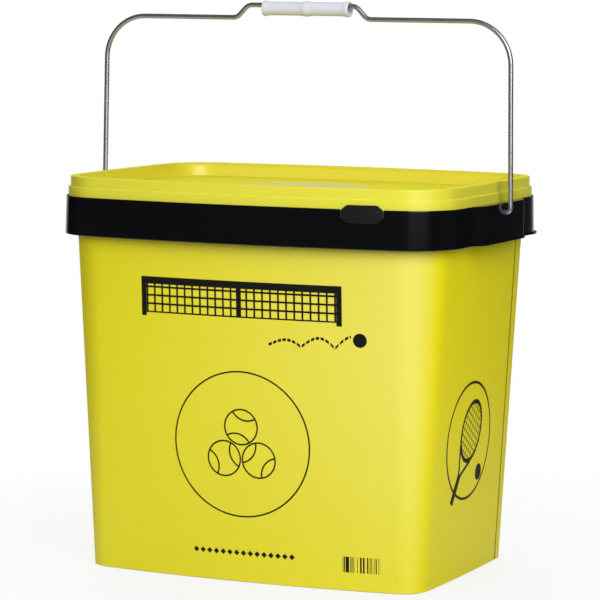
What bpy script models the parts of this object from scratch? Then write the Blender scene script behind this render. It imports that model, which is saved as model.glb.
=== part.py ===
"""Rectangular ball bucket with a wrap label, a recessed lid and a wire bail.

Metres, +Z up. The origin is the middle of the foot, on the ground. The front faces -Y,
and the label's seam is on the +X side.
"""

import math
from dataclasses import dataclass, replace

import bmesh
import bpy
from mathutils import Matrix, Vector

MM = 0.001

# Gap between two pieces that touch on the real object
SEAT_GAP = 0.3 * MM


@dataclass(frozen=True)
class Outline:
    """A rounded rectangle, seen from above, whose four sides bow outwards."""

    half_width: float
    half_depth: float
    corner_radius: float
    front_bow: float
    side_bow: float

    def inset(self, distance):
        """Return the outline that runs at this distance inside this one."""
        return replace(
            self,
            half_width=self.half_width - distance,
            half_depth=self.half_depth - distance,
            corner_radius=self.corner_radius - distance,
        )

    def towards(self, other, share):
        """Return the outline that lies this share of the way to another one."""
        mine = (self.half_width, self.half_depth, self.corner_radius, self.front_bow, self.side_bow)
        theirs = (other.half_width, other.half_depth, other.corner_radius, other.front_bow, other.side_bow)
        return Outline(*(a + (b - a) * share for a, b in zip(mine, theirs)))

    @property
    def corner_centre(self):
        """Centre of the corner at +X, +Y."""
        x = self.half_width - self.side_bow - self.corner_radius
        y = self.half_depth - self.front_bow - self.corner_radius
        return x, y

    @property
    def front_radius(self):
        """Radius of the front's bow, on the outline itself."""
        half_chord = self.corner_centre[0]
        return (half_chord**2 + self.front_bow**2) / (2 * self.front_bow) + self.corner_radius

    @property
    def side_radius(self):
        """Radius of the side's bow, on the outline itself."""
        half_chord = self.corner_centre[1]
        return (half_chord**2 + self.side_bow**2) / (2 * self.side_bow) + self.corner_radius

    def front_y(self, x):
        """Y of the front's face at this x, between the corners."""
        centre = self.front_radius - self.half_depth
        return centre - math.sqrt(self.front_radius**2 - x**2)

    def side_x(self, y):
        """X of the +X side's face at this y, between the corners."""
        centre = self.half_width - self.side_radius
        return centre + math.sqrt(self.side_radius**2 - y**2)


# Band of skirt and fence, measured on its outer face at its lower edge
BAND_WIDTH = 380.0 * MM
BAND_DEPTH = 296.6 * MM
BAND_CORNER_RADIUS = 50.2 * MM
BAND_FRONT_BOW = 10.5 * MM
BAND_SIDE_BOW = 1.3 * MM
SKIRT = Outline(BAND_WIDTH / 2, BAND_DEPTH / 2, BAND_CORNER_RADIUS, BAND_FRONT_BOW, BAND_SIDE_BOW)
BAND_HEIGHT = 34.3 * MM
FENCE_DRAFT = 0.9 * MM
SKIRT_THICKNESS = 1.8 * MM
FENCE_THICKNESS = 1.45 * MM
SKIRT_EDGE = 0.6 * MM
FENCE_EDGE = 0.4 * MM

# Heights of the rim and of what is counted from it
RIM_TOP = 350.6 * MM
FENCE_DROP = 15.2 * MM
FENCE_TOP = RIM_TOP - FENCE_DROP
SKIRT_FOOT = FENCE_TOP - BAND_HEIGHT
CHANNEL_DEPTH = 8.4 * MM
CHANNEL_FLOOR = FENCE_TOP - CHANNEL_DEPTH
FLANGE_THICKNESS = 2.4 * MM

# Wall, measured on the label's outer face at the shoulder under the skirt and at the foot
SHOULDER_DROP = 6.6 * MM
SHOULDER_HEIGHT = SKIRT_FOOT - SHOULDER_DROP
SHOULDER_SIDE_SETBACK = 10.8 * MM
SHOULDER_FRONT_SETBACK = 13.1 * MM
SHOULDER_CORNER_RADIUS = 42.1 * MM
SHOULDER_FRONT_BOW = 7.7 * MM
SHOULDER_SIDE_BOW = 1.8 * MM
SHOULDER = Outline(
    SKIRT.half_width - SHOULDER_SIDE_SETBACK,
    SKIRT.half_depth - SHOULDER_FRONT_SETBACK,
    SHOULDER_CORNER_RADIUS,
    SHOULDER_FRONT_BOW,
    SHOULDER_SIDE_BOW,
)
SIDE_TAPER = 16.5 * MM
FRONT_TAPER = 16.3 * MM
FOOT_CORNER_RADIUS = 22.9 * MM
FOOT_FRONT_BOW = 9.1 * MM
FOOT_SIDE_BOW = 1.5 * MM
FOOT = Outline(
    SHOULDER.half_width - SIDE_TAPER,
    SHOULDER.half_depth - FRONT_TAPER,
    FOOT_CORNER_RADIUS,
    FOOT_FRONT_BOW,
    FOOT_SIDE_BOW,
)
WALL_THICKNESS = 2.2 * MM

# Foot and floor
FOOT_RECESS = 3.0 * MM
FOOT_RING_WIDTH = 9.4 * MM
FOOT_RING_SLOPE = 1.2 * MM
FOOT_EDGE_RADIUS = 1.9 * MM
FLOOR_THICKNESS = 2.4 * MM
FLOOR_FILLET = 4.0 * MM

# Wrap label
LABEL_THICKNESS = 0.4 * MM
LABEL_FOOT = 0.8 * MM
LABEL_OVERLAP = 1.4 * MM
LABEL_HEIGHT = SKIRT_FOOT + LABEL_OVERLAP
SEAM_SHARE = 0.86
SEAM_WIDTH = 1.1 * MM

# Rim that the lid fits over, with insets measured from the skirt's lower edge
RIM_INSET = 8.2 * MM
RIM_BEAD_INSET = 6.9 * MM
RIM_BEAD_HEIGHT = 7.4 * MM
RIM_BEAD_SLOPE = 0.8 * MM
RIM_OUTER_RADIUS = 1.3 * MM
RIM_INNER_EDGE = 0.6 * MM
RIM_INNER_DRAFT = 0.2 * MM
STACK_STEP_DROP = 1.0 * MM
STACK_STEP_HEIGHT = CHANNEL_FLOOR - STACK_STEP_DROP
STACK_STEP_RISE = 4.5 * MM

# Ribs that brace the skirt
RIB_THICKNESS = 1.3 * MM
RIB_DEPTH = 13.0 * MM
FRONT_RIB_COUNT = 6
FRONT_RIB_PITCH = 44.0 * MM
SIDE_RIB_PLACE = 74.0 * MM
EAR_RIB_PLACE = 16.0 * MM

# Ears
EAR_REACH = 6.0 * MM
EAR_FACE = SKIRT.half_width + EAR_REACH
EAR_HALF_LENGTH = 48.0 * MM
EAR_RAMP = 9.8 * MM
EAR_WALL = 1.6 * MM
EAR_ROOF = 1.8 * MM
EAR_CORNER = 3.0 * MM

# Lips at the skirt's foot, under each ear and round each rear corner
LIP_REACH = 1.2 * MM
REAR_LIP_REACH = 2.6 * MM
LIP_HEIGHT = 1.3 * MM
LIP_RISE = 0.1 * MM

# Bail wire
WIRE_RADIUS = 2.1 * MM
HOOK_DROP = 8.2 * MM
HOOK_HEIGHT = FENCE_TOP - HOOK_DROP
HOOK_OFFSET = 0.15 * MM
HOOK_CENTRE = EAR_FACE + HOOK_OFFSET
HOOK_RADIUS = 4.25 * MM
HOOK_TIP_RISE = 5.2 * MM
HOOK_HOLE_RADIUS = 4.5 * MM
HOOK_REST_GAP = 0.9 * MM
LEG_LEAN = 1.8 * MM
LEG_TOP = HOOK_CENTRE + HOOK_RADIUS - LEG_LEAN
BAIL_SHOULDER_RADIUS = 39.0 * MM
BAIL_RISE = 167.0 * MM
BAIL_RUN_HEIGHT = HOOK_HEIGHT + BAIL_RISE
CRANK_RISE = 11.5 * MM
CRANK_HALF_LENGTH = 58.5 * MM
CRANK_CENTRE = -2.0 * MM
CRANK_RADIUS = 9.0 * MM
CRANK_ANGLE = math.radians(46)

# Grip
GRIP_LENGTH = 84.5 * MM
GRIP_CENTRE = 3.0 * MM
GRIP_RADIUS = 6.25 * MM
GRIP_END_RADIUS = 7.05 * MM
GRIP_BULGE_RADIUS = 7.0 * MM
GRIP_BULGE_HALF_LENGTH = 6.5 * MM
GRIP_FLARE_LENGTH = 6.0 * MM
GRIP_WALL = 1.0 * MM
GRIP_EDGE = 0.8 * MM
GRIP_BORE_FLARE = 0.3 * MM

# Lid, whose insets are measured from the skirt's lower edge as the rim's are
LID_RISE = 2.4 * MM
LID_TOP = RIM_TOP + LID_RISE
LID_WALL = 1.6 * MM
LID_UPPER_INSET = 4.85 * MM
LID_LOWER_GAP = 0.35 * MM
LID_STEP_DROP = 9.4 * MM
LID_STEP_HEIGHT = LID_TOP - LID_STEP_DROP
LID_EDGE_RADIUS = 1.0 * MM
LID_STEP_RADIUS = 0.5 * MM
LID_FOOT_GAP = 1.4 * MM
LID_SKIRT_HEIGHT = 9.6 * MM
LID_BEAD_SLOPE = 2.0 * MM
LID_RECESS_INSET = 16.9 * MM
LID_RECESS_DEPTH = 12.4 * MM
LID_RECESS_DRAFT = 1.5 * MM
LID_RECESS_CHAMFER = 2.4 * MM
LID_RECESS_FILLET = 1.0 * MM
LID_PANEL_EDGE = 2.0 * MM
LID_PANEL_THICKNESS = 1.8 * MM
SEAL_GAP = 0.45 * MM
SEAL_LENGTH = 5.0 * MM
SEAL_THICKNESS = 1.1 * MM
SEAL_ROOT = 1.2 * MM

# Round label on the lid
LID_LABEL_RADIUS = 67.0 * MM
LID_LABEL_PLACE = (-7.0 * MM, 4.0 * MM)
LID_LABEL_THICKNESS = 0.3 * MM

# Tamper tab
TAB_SHARE = 0.847
TAB_PLACE = TAB_SHARE * SKIRT.corner_centre[0]
TAB_DROP = 11.9 * MM
TAB_FOOT = FENCE_TOP - TAB_DROP
TAB_HEIGHT = 15.7 * MM
TAB_HALF_WIDTH = 18.7 * MM
TAB_CHAMFER_WIDTH = 5.3 * MM
TAB_CHAMFER_HEIGHT = 4.3 * MM
TAB_THICKNESS = 1.3 * MM
TAB_SLIT = 1.1 * MM
TAB_HINGE_HALF_WIDTH = 9.8 * MM

# How far a cutter runs past what it cuts
CUTTER_REACH = 2.0 * MM
CUTTER_BITE = 0.1 * MM

# Steps per curve
CORNER_STEPS = 8
FRONT_STEPS = 8
SIDE_STEPS = 6
TURN_STEPS = 24
DISC_STEPS = 64
PROFILE_STEPS = 2
EAR_CORNER_STEPS = 4

# Colours, as red, green, blue
BLACK_PLASTIC = (0.010, 0.011, 0.012)
YELLOW_FILM = (0.74, 0.66, 0.035)
YELLOW_PLASTIC = (0.76, 0.72, 0.055)
PALE_FILM = (0.60, 0.59, 0.48)
GALVANISED_STEEL = (0.55, 0.57, 0.58)
WHITE_PLASTIC = (0.80, 0.80, 0.82)


def clear_scene():
    """Remove every object, mesh, curve and material that the scene holds."""
    for obj in list(bpy.data.objects):
        bpy.data.objects.remove(obj, do_unlink=True)
    for store in (bpy.data.meshes, bpy.data.curves, bpy.data.materials):
        for block in list(store):
            store.remove(block)


def new_collection(name):
    """Add a collection of this name to the scene."""
    collection = bpy.data.collections.new(name)
    bpy.context.scene.collection.children.link(collection)
    return collection


def new_material(name, colour, roughness, metallic=0.0):
    """Make a plain Principled material."""
    material = bpy.data.materials.new(name)
    material.use_nodes = True
    shader = material.node_tree.nodes["Principled BSDF"]
    shader.inputs["Base Color"].default_value = (*colour, 1.0)
    shader.inputs["Roughness"].default_value = roughness
    shader.inputs["Metallic"].default_value = metallic
    return material


def object_from_bmesh(name, shape, collection, material=None, smooth_angle=None):
    """Turn a bmesh into an object, shaded smooth below the angle if one is given."""
    mesh = bpy.data.meshes.new(name)
    shape.to_mesh(mesh)
    shape.free()
    obj = bpy.data.objects.new(name, mesh)
    collection.objects.link(obj)
    if material is not None:
        mesh.materials.append(material)
    if smooth_angle is not None:
        mesh.shade_smooth()
        mesh.set_sharp_from_angle(angle=smooth_angle)
    return obj


def arc(centre, radius, start, end, steps):
    """Points of a circle from one angle to another, the last one left out."""
    points = []
    for step in range(steps):
        angle = start + (end - start) * step / steps
        points.append((centre[0] + radius * math.cos(angle), centre[1] + radius * math.sin(angle)))
    return points


def outline_points(outline):
    """Points round an outline, anticlockwise, from the middle of the +X side."""
    corner_x, corner_y = outline.corner_centre
    side_turn = math.asin(corner_y / (outline.side_radius - outline.corner_radius))
    front_turn = math.asin(corner_x / (outline.front_radius - outline.corner_radius))
    side_centre = outline.half_width - outline.side_radius
    front_centre = outline.half_depth - outline.front_radius
    quarter = math.pi / 2
    half_side = SIDE_STEPS // 2
    radius = outline.corner_radius
    points = arc((side_centre, 0), outline.side_radius, 0, side_turn, half_side)
    points += arc((corner_x, corner_y), radius, side_turn, quarter - front_turn, CORNER_STEPS)
    points += arc((0, front_centre), outline.front_radius, quarter - front_turn, quarter + front_turn, FRONT_STEPS)
    points += arc((-corner_x, corner_y), radius, quarter + front_turn, math.pi - side_turn, CORNER_STEPS)
    points += arc((-side_centre, 0), outline.side_radius, math.pi - side_turn, math.pi, half_side)
    return points + [(-x, -y) for x, y in points]


def loft(name, stations, collection, material):
    """Skin a closed solid through outlines at their heights, with a flat cap at each end."""
    shape = bmesh.new()
    rings = [
        [shape.verts.new((x, y, height)) for x, y in outline_points(outline)]
        for outline, height in stations
    ]
    for lower, upper in zip(rings, rings[1:]):
        for index in range(len(lower)):
            after = (index + 1) % len(lower)
            shape.faces.new((lower[index], lower[after], upper[after], upper[index]))
    shape.faces.new(list(reversed(rings[0])))
    shape.faces.new(rings[-1])
    bmesh.ops.recalc_face_normals(shape, faces=shape.faces)
    return object_from_bmesh(name, shape, collection, material, math.radians(40))


def wall_outline(height):
    """The label's outer face at this height."""
    return FOOT.towards(SHOULDER, height / SHOULDER_HEIGHT)


def fence_inset(height):
    """How far the fence's outer face has drawn in from the skirt's lower edge."""
    return FENCE_DRAFT * (height - SKIRT_FOOT) / (FENCE_TOP - SKIRT_FOOT)


def fence_inner_inset():
    """Inset of the fence's inner face, which stands upright."""
    return FENCE_DRAFT + FENCE_THICKNESS


def wall_heights(foot, top, bands=4):
    """Heights shared by the wall and its label, so that both bend alike."""
    return [foot + (top - foot) * band / bands for band in range(bands + 1)]


def bucket_stations():
    """Outlines and heights from under the floor, up the outside and down the inside."""
    label_seat = LABEL_THICKNESS + SEAT_GAP
    label_bed_top = LABEL_HEIGHT + SEAT_GAP
    flange_foot = CHANNEL_FLOOR - FLANGE_THICKNESS
    ring_inner = label_seat + FOOT_EDGE_RADIUS + FOOT_RING_WIDTH
    inner_rim = RIM_INSET + WALL_THICKNESS
    inner_wall = LABEL_THICKNESS + WALL_THICKNESS
    floor = FOOT_RECESS + FLOOR_THICKNESS
    bead_foot = RIM_TOP - RIM_BEAD_HEIGHT

    underside = [
        (ring_inner + FOOT_RING_SLOPE, FOOT_RECESS, 0),
        (ring_inner, 0.0, 0),
        (label_seat, 0.0, FOOT_EDGE_RADIUS),
        (label_seat, SHOULDER_HEIGHT, 0),
    ]
    stations = [(wall_outline(height).inset(inset), height) for inset, height in rounded(underside)[:-1]]
    stations += [
        (wall_outline(height).inset(label_seat), height)
        for height in wall_heights(FOOT_EDGE_RADIUS, label_bed_top)[1:]
    ]
    stations += [
        (wall_outline(label_bed_top + label_seat), label_bed_top + label_seat),
        (wall_outline(flange_foot), flange_foot),
    ]
    moulding = [
        (SKIRT_THICKNESS, flange_foot, 0),
        (SKIRT_THICKNESS, SKIRT_FOOT, SKIRT_EDGE),
        (0.0, SKIRT_FOOT, SKIRT_EDGE),
        (fence_inset(CHANNEL_FLOOR), CHANNEL_FLOOR, 0),
        (fence_inset(FENCE_TOP), FENCE_TOP, FENCE_EDGE),
        (fence_inner_inset(), FENCE_TOP, 0),
        (fence_inner_inset(), CHANNEL_FLOOR, 0),
        (RIM_INSET, CHANNEL_FLOOR, 0),
        (RIM_INSET, bead_foot - RIM_BEAD_SLOPE, 0),
        (RIM_BEAD_INSET, bead_foot + RIM_BEAD_SLOPE, 0),
        (RIM_BEAD_INSET, RIM_TOP, RIM_OUTER_RADIUS),
        (inner_rim, RIM_TOP, RIM_INNER_EDGE),
        (inner_rim + RIM_INNER_DRAFT, STACK_STEP_HEIGHT + STACK_STEP_RISE, 0),
    ]
    stations += [(SKIRT.inset(inset), height) for inset, height in rounded(moulding)]
    stations += [
        (wall_outline(height).inset(inner_wall), height)
        for height in reversed(wall_heights(floor + FLOOR_FILLET, STACK_STEP_HEIGHT))
    ]
    for turn in (30, 60, 90):
        drop = FLOOR_FILLET * (1 - math.sin(math.radians(turn)))
        reach = FLOOR_FILLET * (1 - math.cos(math.radians(turn)))
        stations.append((wall_outline(floor).inset(inner_wall + reach), floor + drop))
    return stations


def rounded(corners, steps=PROFILE_STEPS):
    """Round an open profile, each of whose corners is a place and the radius that rounds it."""
    points = []
    for index, (first, second, radius) in enumerate(corners):
        here = Vector((first, second))
        if radius == 0:
            points.append(tuple(here))
            continue
        back = (Vector(corners[index - 1][:2]) - here).normalized()
        ahead = (Vector(corners[index + 1][:2]) - here).normalized()
        half_angle = back.angle(ahead) / 2
        reach = radius / math.tan(half_angle)
        centre = here + (back + ahead).normalized() * radius / math.sin(half_angle)
        start = here + back * reach - centre
        sweep = start.angle_signed(here + ahead * reach - centre)
        for step in range(steps + 1):
            turned = start.copy()
            turned.rotate(Matrix.Rotation(-sweep * step / steps, 2))
            points.append(tuple(centre + turned))
    return points


def prism(name, points, foot, top, collection, material=None):
    """A flat outline in X and Y, extruded from one height to another."""
    shape = bmesh.new()
    base = shape.faces.new([shape.verts.new((x, y, foot)) for x, y in points])
    raised = bmesh.ops.extrude_face_region(shape, geom=[base])
    moved = [item for item in raised["geom"] if isinstance(item, bmesh.types.BMVert)]
    bmesh.ops.translate(shape, verts=moved, vec=(0, 0, top - foot))
    bmesh.ops.recalc_face_normals(shape, faces=shape.faces)
    return object_from_bmesh(name, shape, collection, material)


def ear_outline(offset, inner_x):
    """The ear's plan, offset outwards, from a line inside the skirt round its face and back."""
    slope = math.atan2(EAR_FACE - SKIRT.side_x(EAR_HALF_LENGTH), EAR_RAMP)
    face = EAR_FACE + offset
    half = EAR_HALF_LENGTH + offset * math.tan(slope / 2)
    back = half + (face - inner_x) / math.tan(slope)
    radius = EAR_CORNER + offset
    corners = [(inner_x, -back, 0), (face, -half, radius), (face, half, radius), (inner_x, back, 0)]
    return rounded(corners, EAR_CORNER_STEPS)


def mirrored(points):
    """The same outline on the -X side, still anticlockwise."""
    return [(-x, y) for x, y in reversed(points)]


def hook_hole_height():
    """Centre of the ear's hole, in whose lower part the wire rests."""
    return HOOK_HEIGHT - WIRE_RADIUS - HOOK_REST_GAP + HOOK_HOLE_RADIUS


def add_rib_block(shape, low, high):
    """Add one block to the bmesh that holds all the ribs."""
    made = bmesh.ops.create_cube(shape, size=1.0)["verts"]
    size = Vector(high) - Vector(low)
    middle = (Vector(high) + Vector(low)) / 2
    bmesh.ops.scale(shape, verts=made, vec=size)
    bmesh.ops.translate(shape, verts=made, vec=middle)


def skirt_ribs(collection):
    """Ribs between the wall and the skirt, under the flange."""
    shape = bmesh.new()
    top = CHANNEL_FLOOR - FLANGE_THICKNESS / 2
    foot = CHANNEL_FLOOR - FLANGE_THICKNESS - RIB_DEPTH
    half = RIB_THICKNESS / 2
    wall = wall_outline(foot).inset(WALL_THICKNESS / 2)
    skirt = SKIRT.inset(SKIRT_THICKNESS / 2)
    for index in range(FRONT_RIB_COUNT):
        x = (index - (FRONT_RIB_COUNT - 1) / 2) * FRONT_RIB_PITCH
        near = wall.front_y(x)
        far = skirt.front_y(x)
        add_rib_block(shape, (x - half, far, foot), (x + half, near, top))
        add_rib_block(shape, (x - half, -near, foot), (x + half, -far, top))
    for y in (-SIDE_RIB_PLACE, -EAR_RIB_PLACE, EAR_RIB_PLACE, SIDE_RIB_PLACE):
        near = wall.side_x(y)
        in_ear = abs(y) < EAR_HALF_LENGTH
        far = EAR_FACE - EAR_WALL / 2 if in_ear else skirt.side_x(y)
        add_rib_block(shape, (near, y - half, foot), (far, y + half, top))
        add_rib_block(shape, (-far, y - half, foot), (-near, y + half, top))
    return object_from_bmesh("skirt_ribs", shape, collection)


def tab_angle():
    """How far the front's face has turned at the tab."""
    return math.asin(TAB_PLACE / SKIRT.front_radius)


def tab_tilt():
    """Lean of the fence's face from upright."""
    return math.atan2(FENCE_DRAFT, FENCE_TOP - SKIRT_FOOT)


def tab_frame():
    """Place of the tab's hinge line: local X along it, local Y up the tab, local Z outwards."""
    outline = SKIRT.inset(fence_inset(TAB_FOOT))
    place = Vector((TAB_PLACE, outline.front_y(TAB_PLACE), TAB_FOOT))
    turn = Matrix.Rotation(tab_angle(), 4, "Z")
    stand = Matrix.Rotation(math.radians(90) - tab_tilt(), 4, "X")
    return Matrix.Translation(place) @ turn @ stand


def tab_points(grow):
    """Eight-sided outline of the tab, or of its slit, with its foot on the hinge line."""
    half = TAB_HALF_WIDTH + grow
    top = TAB_HEIGHT + grow
    foot = -grow
    corner_x = half - TAB_CHAMFER_WIDTH
    low = foot + TAB_CHAMFER_HEIGHT
    high = top - TAB_CHAMFER_HEIGHT
    return [
        (-corner_x, foot),
        (corner_x, foot),
        (half, low),
        (half, high),
        (corner_x, top),
        (-corner_x, top),
        (-half, high),
        (-half, low),
    ]


def slit_points():
    """Outline of the opening that the tab stands in, with a step in for its film hinge."""
    outline = tab_points(TAB_SLIT)
    hinge = TAB_HINGE_HALF_WIDTH
    step = [
        (outline[0][0], -TAB_SLIT),
        (-hinge, -TAB_SLIT),
        (-hinge, -SEAT_GAP),
        (hinge, -SEAT_GAP),
        (hinge, -TAB_SLIT),
    ]
    return step + outline[1:]


def tab_slit(collection):
    """Cutter for the opening that the tab stands in."""
    depth = fence_inner_inset() - fence_inset(TAB_FOOT) + SEAT_GAP
    cutter = prism("tab_slit", slit_points(), -depth, CUTTER_REACH, collection)
    cutter.matrix_world = tab_frame()
    return cutter


def hole_cutter(name, side, collection):
    """Cutter for the hook's hole through one ear."""
    shape = bmesh.new()
    bmesh.ops.create_cone(
        shape,
        cap_ends=True,
        segments=TURN_STEPS,
        radius1=HOOK_HOLE_RADIUS,
        radius2=HOOK_HOLE_RADIUS,
        depth=3 * EAR_WALL,
    )
    cutter = object_from_bmesh(name, shape, collection)
    place = Vector((side * (EAR_FACE - EAR_WALL / 2), 0, hook_hole_height()))
    cutter.matrix_world = Matrix.Translation(place) @ Matrix.Rotation(math.radians(90), 4, "Y")
    return cutter


def add_boolean(obj, other, operation):
    """Join another object to this one or cut it away, and mark the other as a helper."""
    modifier = obj.modifiers.new(other.name, "BOOLEAN")
    modifier.operation = operation
    modifier.solver = "EXACT"
    modifier.object = other
    other.hide_render = True
    other.display_type = "WIRE"


def make_bucket(parts, helpers, material):
    """The pail: wall, floor, flange, skirt, fence, rim, ears, lips and ribs."""
    bucket = loft("bucket_shell", bucket_stations(), parts, material)
    in_skirt = SKIRT.half_width - SKIRT_THICKNESS / 2 - SKIRT.side_bow
    pocket_inner = SKIRT.half_width - FENCE_DRAFT - CUTTER_BITE
    lip_foot = SKIRT_FOOT + LIP_RISE
    under = SKIRT_FOOT - CUTTER_REACH
    flange_foot = CHANNEL_FLOOR - FLANGE_THICKNESS
    shapes = (
        ("ear", ear_outline(0, in_skirt), SKIRT_FOOT, FENCE_TOP, "UNION"),
        ("ear_lip", ear_outline(LIP_REACH, in_skirt), lip_foot, lip_foot + LIP_HEIGHT, "UNION"),
        ("rear_lip", rear_lip_outline(), lip_foot - LIP_RISE / 2, lip_foot + LIP_HEIGHT - LIP_RISE, "UNION"),
        ("ear_pocket", ear_outline(-EAR_WALL, pocket_inner), under, FENCE_TOP - EAR_ROOF, "DIFFERENCE"),
        ("ear_mouth", ear_mouth_outline(pocket_inner + EAR_WALL), under, flange_foot, "DIFFERENCE"),
    )
    for side, label in ((1, "right"), (-1, "left")):
        for name, plan, foot, top, operation in shapes:
            facing = plan if side == 1 else mirrored(plan)
            add_boolean(bucket, prism(f"{name}_{label}", facing, foot, top, helpers), operation)
        add_boolean(bucket, hole_cutter(f"hook_hole_{label}", side, helpers), "DIFFERENCE")
    add_boolean(bucket, skirt_ribs(helpers), "UNION")
    add_boolean(bucket, tab_slit(helpers), "DIFFERENCE")
    return bucket


def rear_lip_outline():
    """Plan of the narrow lip round the skirt's rear corner, which tapers off at both ends."""
    inner = outline_points(SKIRT.inset(SKIRT_THICKNESS / 2))
    skirt = outline_points(SKIRT.inset(-CUTTER_BITE))
    outer = outline_points(SKIRT.inset(-REAR_LIP_REACH))
    first = SIDE_STEPS // 2 - 1
    last = SIDE_STEPS // 2 + CORNER_STEPS + 1
    edge = [skirt[first]] + outer[first + 1 : last] + [skirt[last]]
    return edge + list(reversed(inner[first : last + 1]))


def ear_mouth_outline(outer_x):
    """Plan of the part of the skirt's own wall that the ear's pocket replaces."""
    inner_x = SKIRT.half_width - SKIRT_THICKNESS - SKIRT.side_bow
    half = EAR_HALF_LENGTH - EAR_WALL
    return [(inner_x, -half), (outer_x, -half), (outer_x, half), (inner_x, half)]


def make_wrap_label(parts, material):
    """Yellow film round the wall, as an open sheet with a seam and Solidify."""
    shape = bmesh.new()
    rings = []
    for height in wall_heights(FOOT_EDGE_RADIUS, LABEL_HEIGHT + SEAT_GAP):
        outline = wall_outline(height)
        rings.append([shape.verts.new((x, y, height)) for x, y in label_points(outline)])
    for vert in rings[0]:
        vert.co.z = LABEL_FOOT
    for vert in rings[-1]:
        vert.co.z = LABEL_HEIGHT
    for lower, upper in zip(rings, rings[1:]):
        for index in range(len(lower) - 1):
            shape.faces.new((lower[index], lower[index + 1], upper[index + 1], upper[index]))
    label = object_from_bmesh("wrap_label", shape, parts, material, math.radians(40))
    wall = label.modifiers.new("thickness", "SOLIDIFY")
    wall.thickness = LABEL_THICKNESS
    wall.offset = -1.0
    return label


def label_points(outline):
    """Outline points from one side of the seam round to the other."""
    points = outline_points(outline)
    seam_y = SEAM_SHARE * outline.corner_centre[1]
    steps_before = SIDE_STEPS // 2
    ends = []
    for y in (seam_y + SEAM_WIDTH / 2, seam_y - SEAM_WIDTH / 2):
        ends.append((outline.side_x(y), y))
    return [ends[0]] + points[steps_before:] + points[:steps_before] + [ends[1]]


def lid_profile():
    """Corners of the lid's section, from the panel over the rim and back underneath."""
    panel_top = LID_TOP - LID_RECESS_DEPTH
    panel_foot = panel_top - LID_PANEL_THICKNESS
    panel_edge = LID_RECESS_INSET + LID_PANEL_EDGE
    wall_top = LID_RECESS_INSET - LID_RECESS_DRAFT
    lower = fence_inner_inset() + LID_LOWER_GAP
    lid_foot = CHANNEL_FLOOR + LID_FOOT_GAP
    skirt_top = lid_foot + LID_SKIRT_HEIGHT
    bead = RIM_BEAD_INSET - SEAT_GAP
    under_rim = RIM_TOP + SEAT_GAP
    seal = RIM_INSET + WALL_THICKNESS + SEAL_GAP
    seal_inner = seal + SEAL_THICKNESS
    seal_foot = under_rim - SEAL_LENGTH
    return [
        (panel_edge, panel_top, 0),
        (LID_RECESS_INSET, panel_top, LID_RECESS_FILLET),
        (wall_top, LID_TOP - LID_RECESS_CHAMFER, 0),
        (wall_top - LID_RECESS_CHAMFER, LID_TOP, 0),
        (LID_UPPER_INSET, LID_TOP, LID_EDGE_RADIUS),
        (LID_UPPER_INSET, LID_STEP_HEIGHT, LID_STEP_RADIUS),
        (lower, LID_STEP_HEIGHT, LID_STEP_RADIUS),
        (lower, lid_foot, LID_STEP_RADIUS),
        (lower + LID_WALL, lid_foot, LID_STEP_RADIUS),
        (lower + LID_WALL, skirt_top, 0),
        (bead, skirt_top + LID_BEAD_SLOPE, 0),
        (bead, under_rim, LID_STEP_RADIUS),
        (seal, under_rim, 0),
        (seal, seal_foot, LID_STEP_RADIUS),
        (seal_inner, seal_foot, LID_STEP_RADIUS),
        (seal_inner, under_rim - SEAL_ROOT, 0),
        (wall_top - LID_WALL, under_rim - SEAL_ROOT - LID_WALL / 2, 0),
        (LID_RECESS_INSET - LID_WALL, panel_foot, LID_RECESS_FILLET),
        (panel_edge, panel_foot, 0),
    ]


def make_lid(parts, material):
    """The lid: recessed panel, rim with two steps, skirt that grips the bead, and sealing lip."""
    stations = [(SKIRT.inset(inset), height) for inset, height in rounded(lid_profile())]
    return loft("snap_lid", stations, parts, material)


def make_lid_label(parts, material):
    """Round film on the lid's panel."""
    shape = bmesh.new()
    bmesh.ops.create_cone(
        shape,
        cap_ends=True,
        segments=DISC_STEPS,
        radius1=LID_LABEL_RADIUS,
        radius2=LID_LABEL_RADIUS,
        depth=LID_LABEL_THICKNESS,
    )
    label = object_from_bmesh("lid_label", shape, parts, material)
    height = LID_TOP - LID_RECESS_DEPTH + SEAT_GAP + LID_LABEL_THICKNESS / 2
    label.location = (*LID_LABEL_PLACE, height)
    return label


def make_tab(parts, material):
    """The tab, whose parent empty stands on its hinge line, on the fence's outer face."""
    hinge = bpy.data.objects.new("tab_hinge", None)
    parts.objects.link(hinge)
    hinge.matrix_world = tab_frame()
    curve = bpy.data.curves.new("tamper_tab", "CURVE")
    curve.dimensions = "2D"
    curve.fill_mode = "BOTH"
    curve.extrude = TAB_THICKNESS / 2
    points = tab_points(0)
    spline = curve.splines.new("POLY")
    spline.points.add(len(points) - 1)
    for point, (x, y) in zip(spline.points, points):
        point.co = (x, y, 0, 1)
    spline.use_cyclic_u = True
    curve.materials.append(material)
    tab = bpy.data.objects.new("tamper_tab", curve)
    parts.objects.link(tab)
    tab.parent = hinge
    tab.location.z = -TAB_THICKNESS / 2
    return tab


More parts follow.
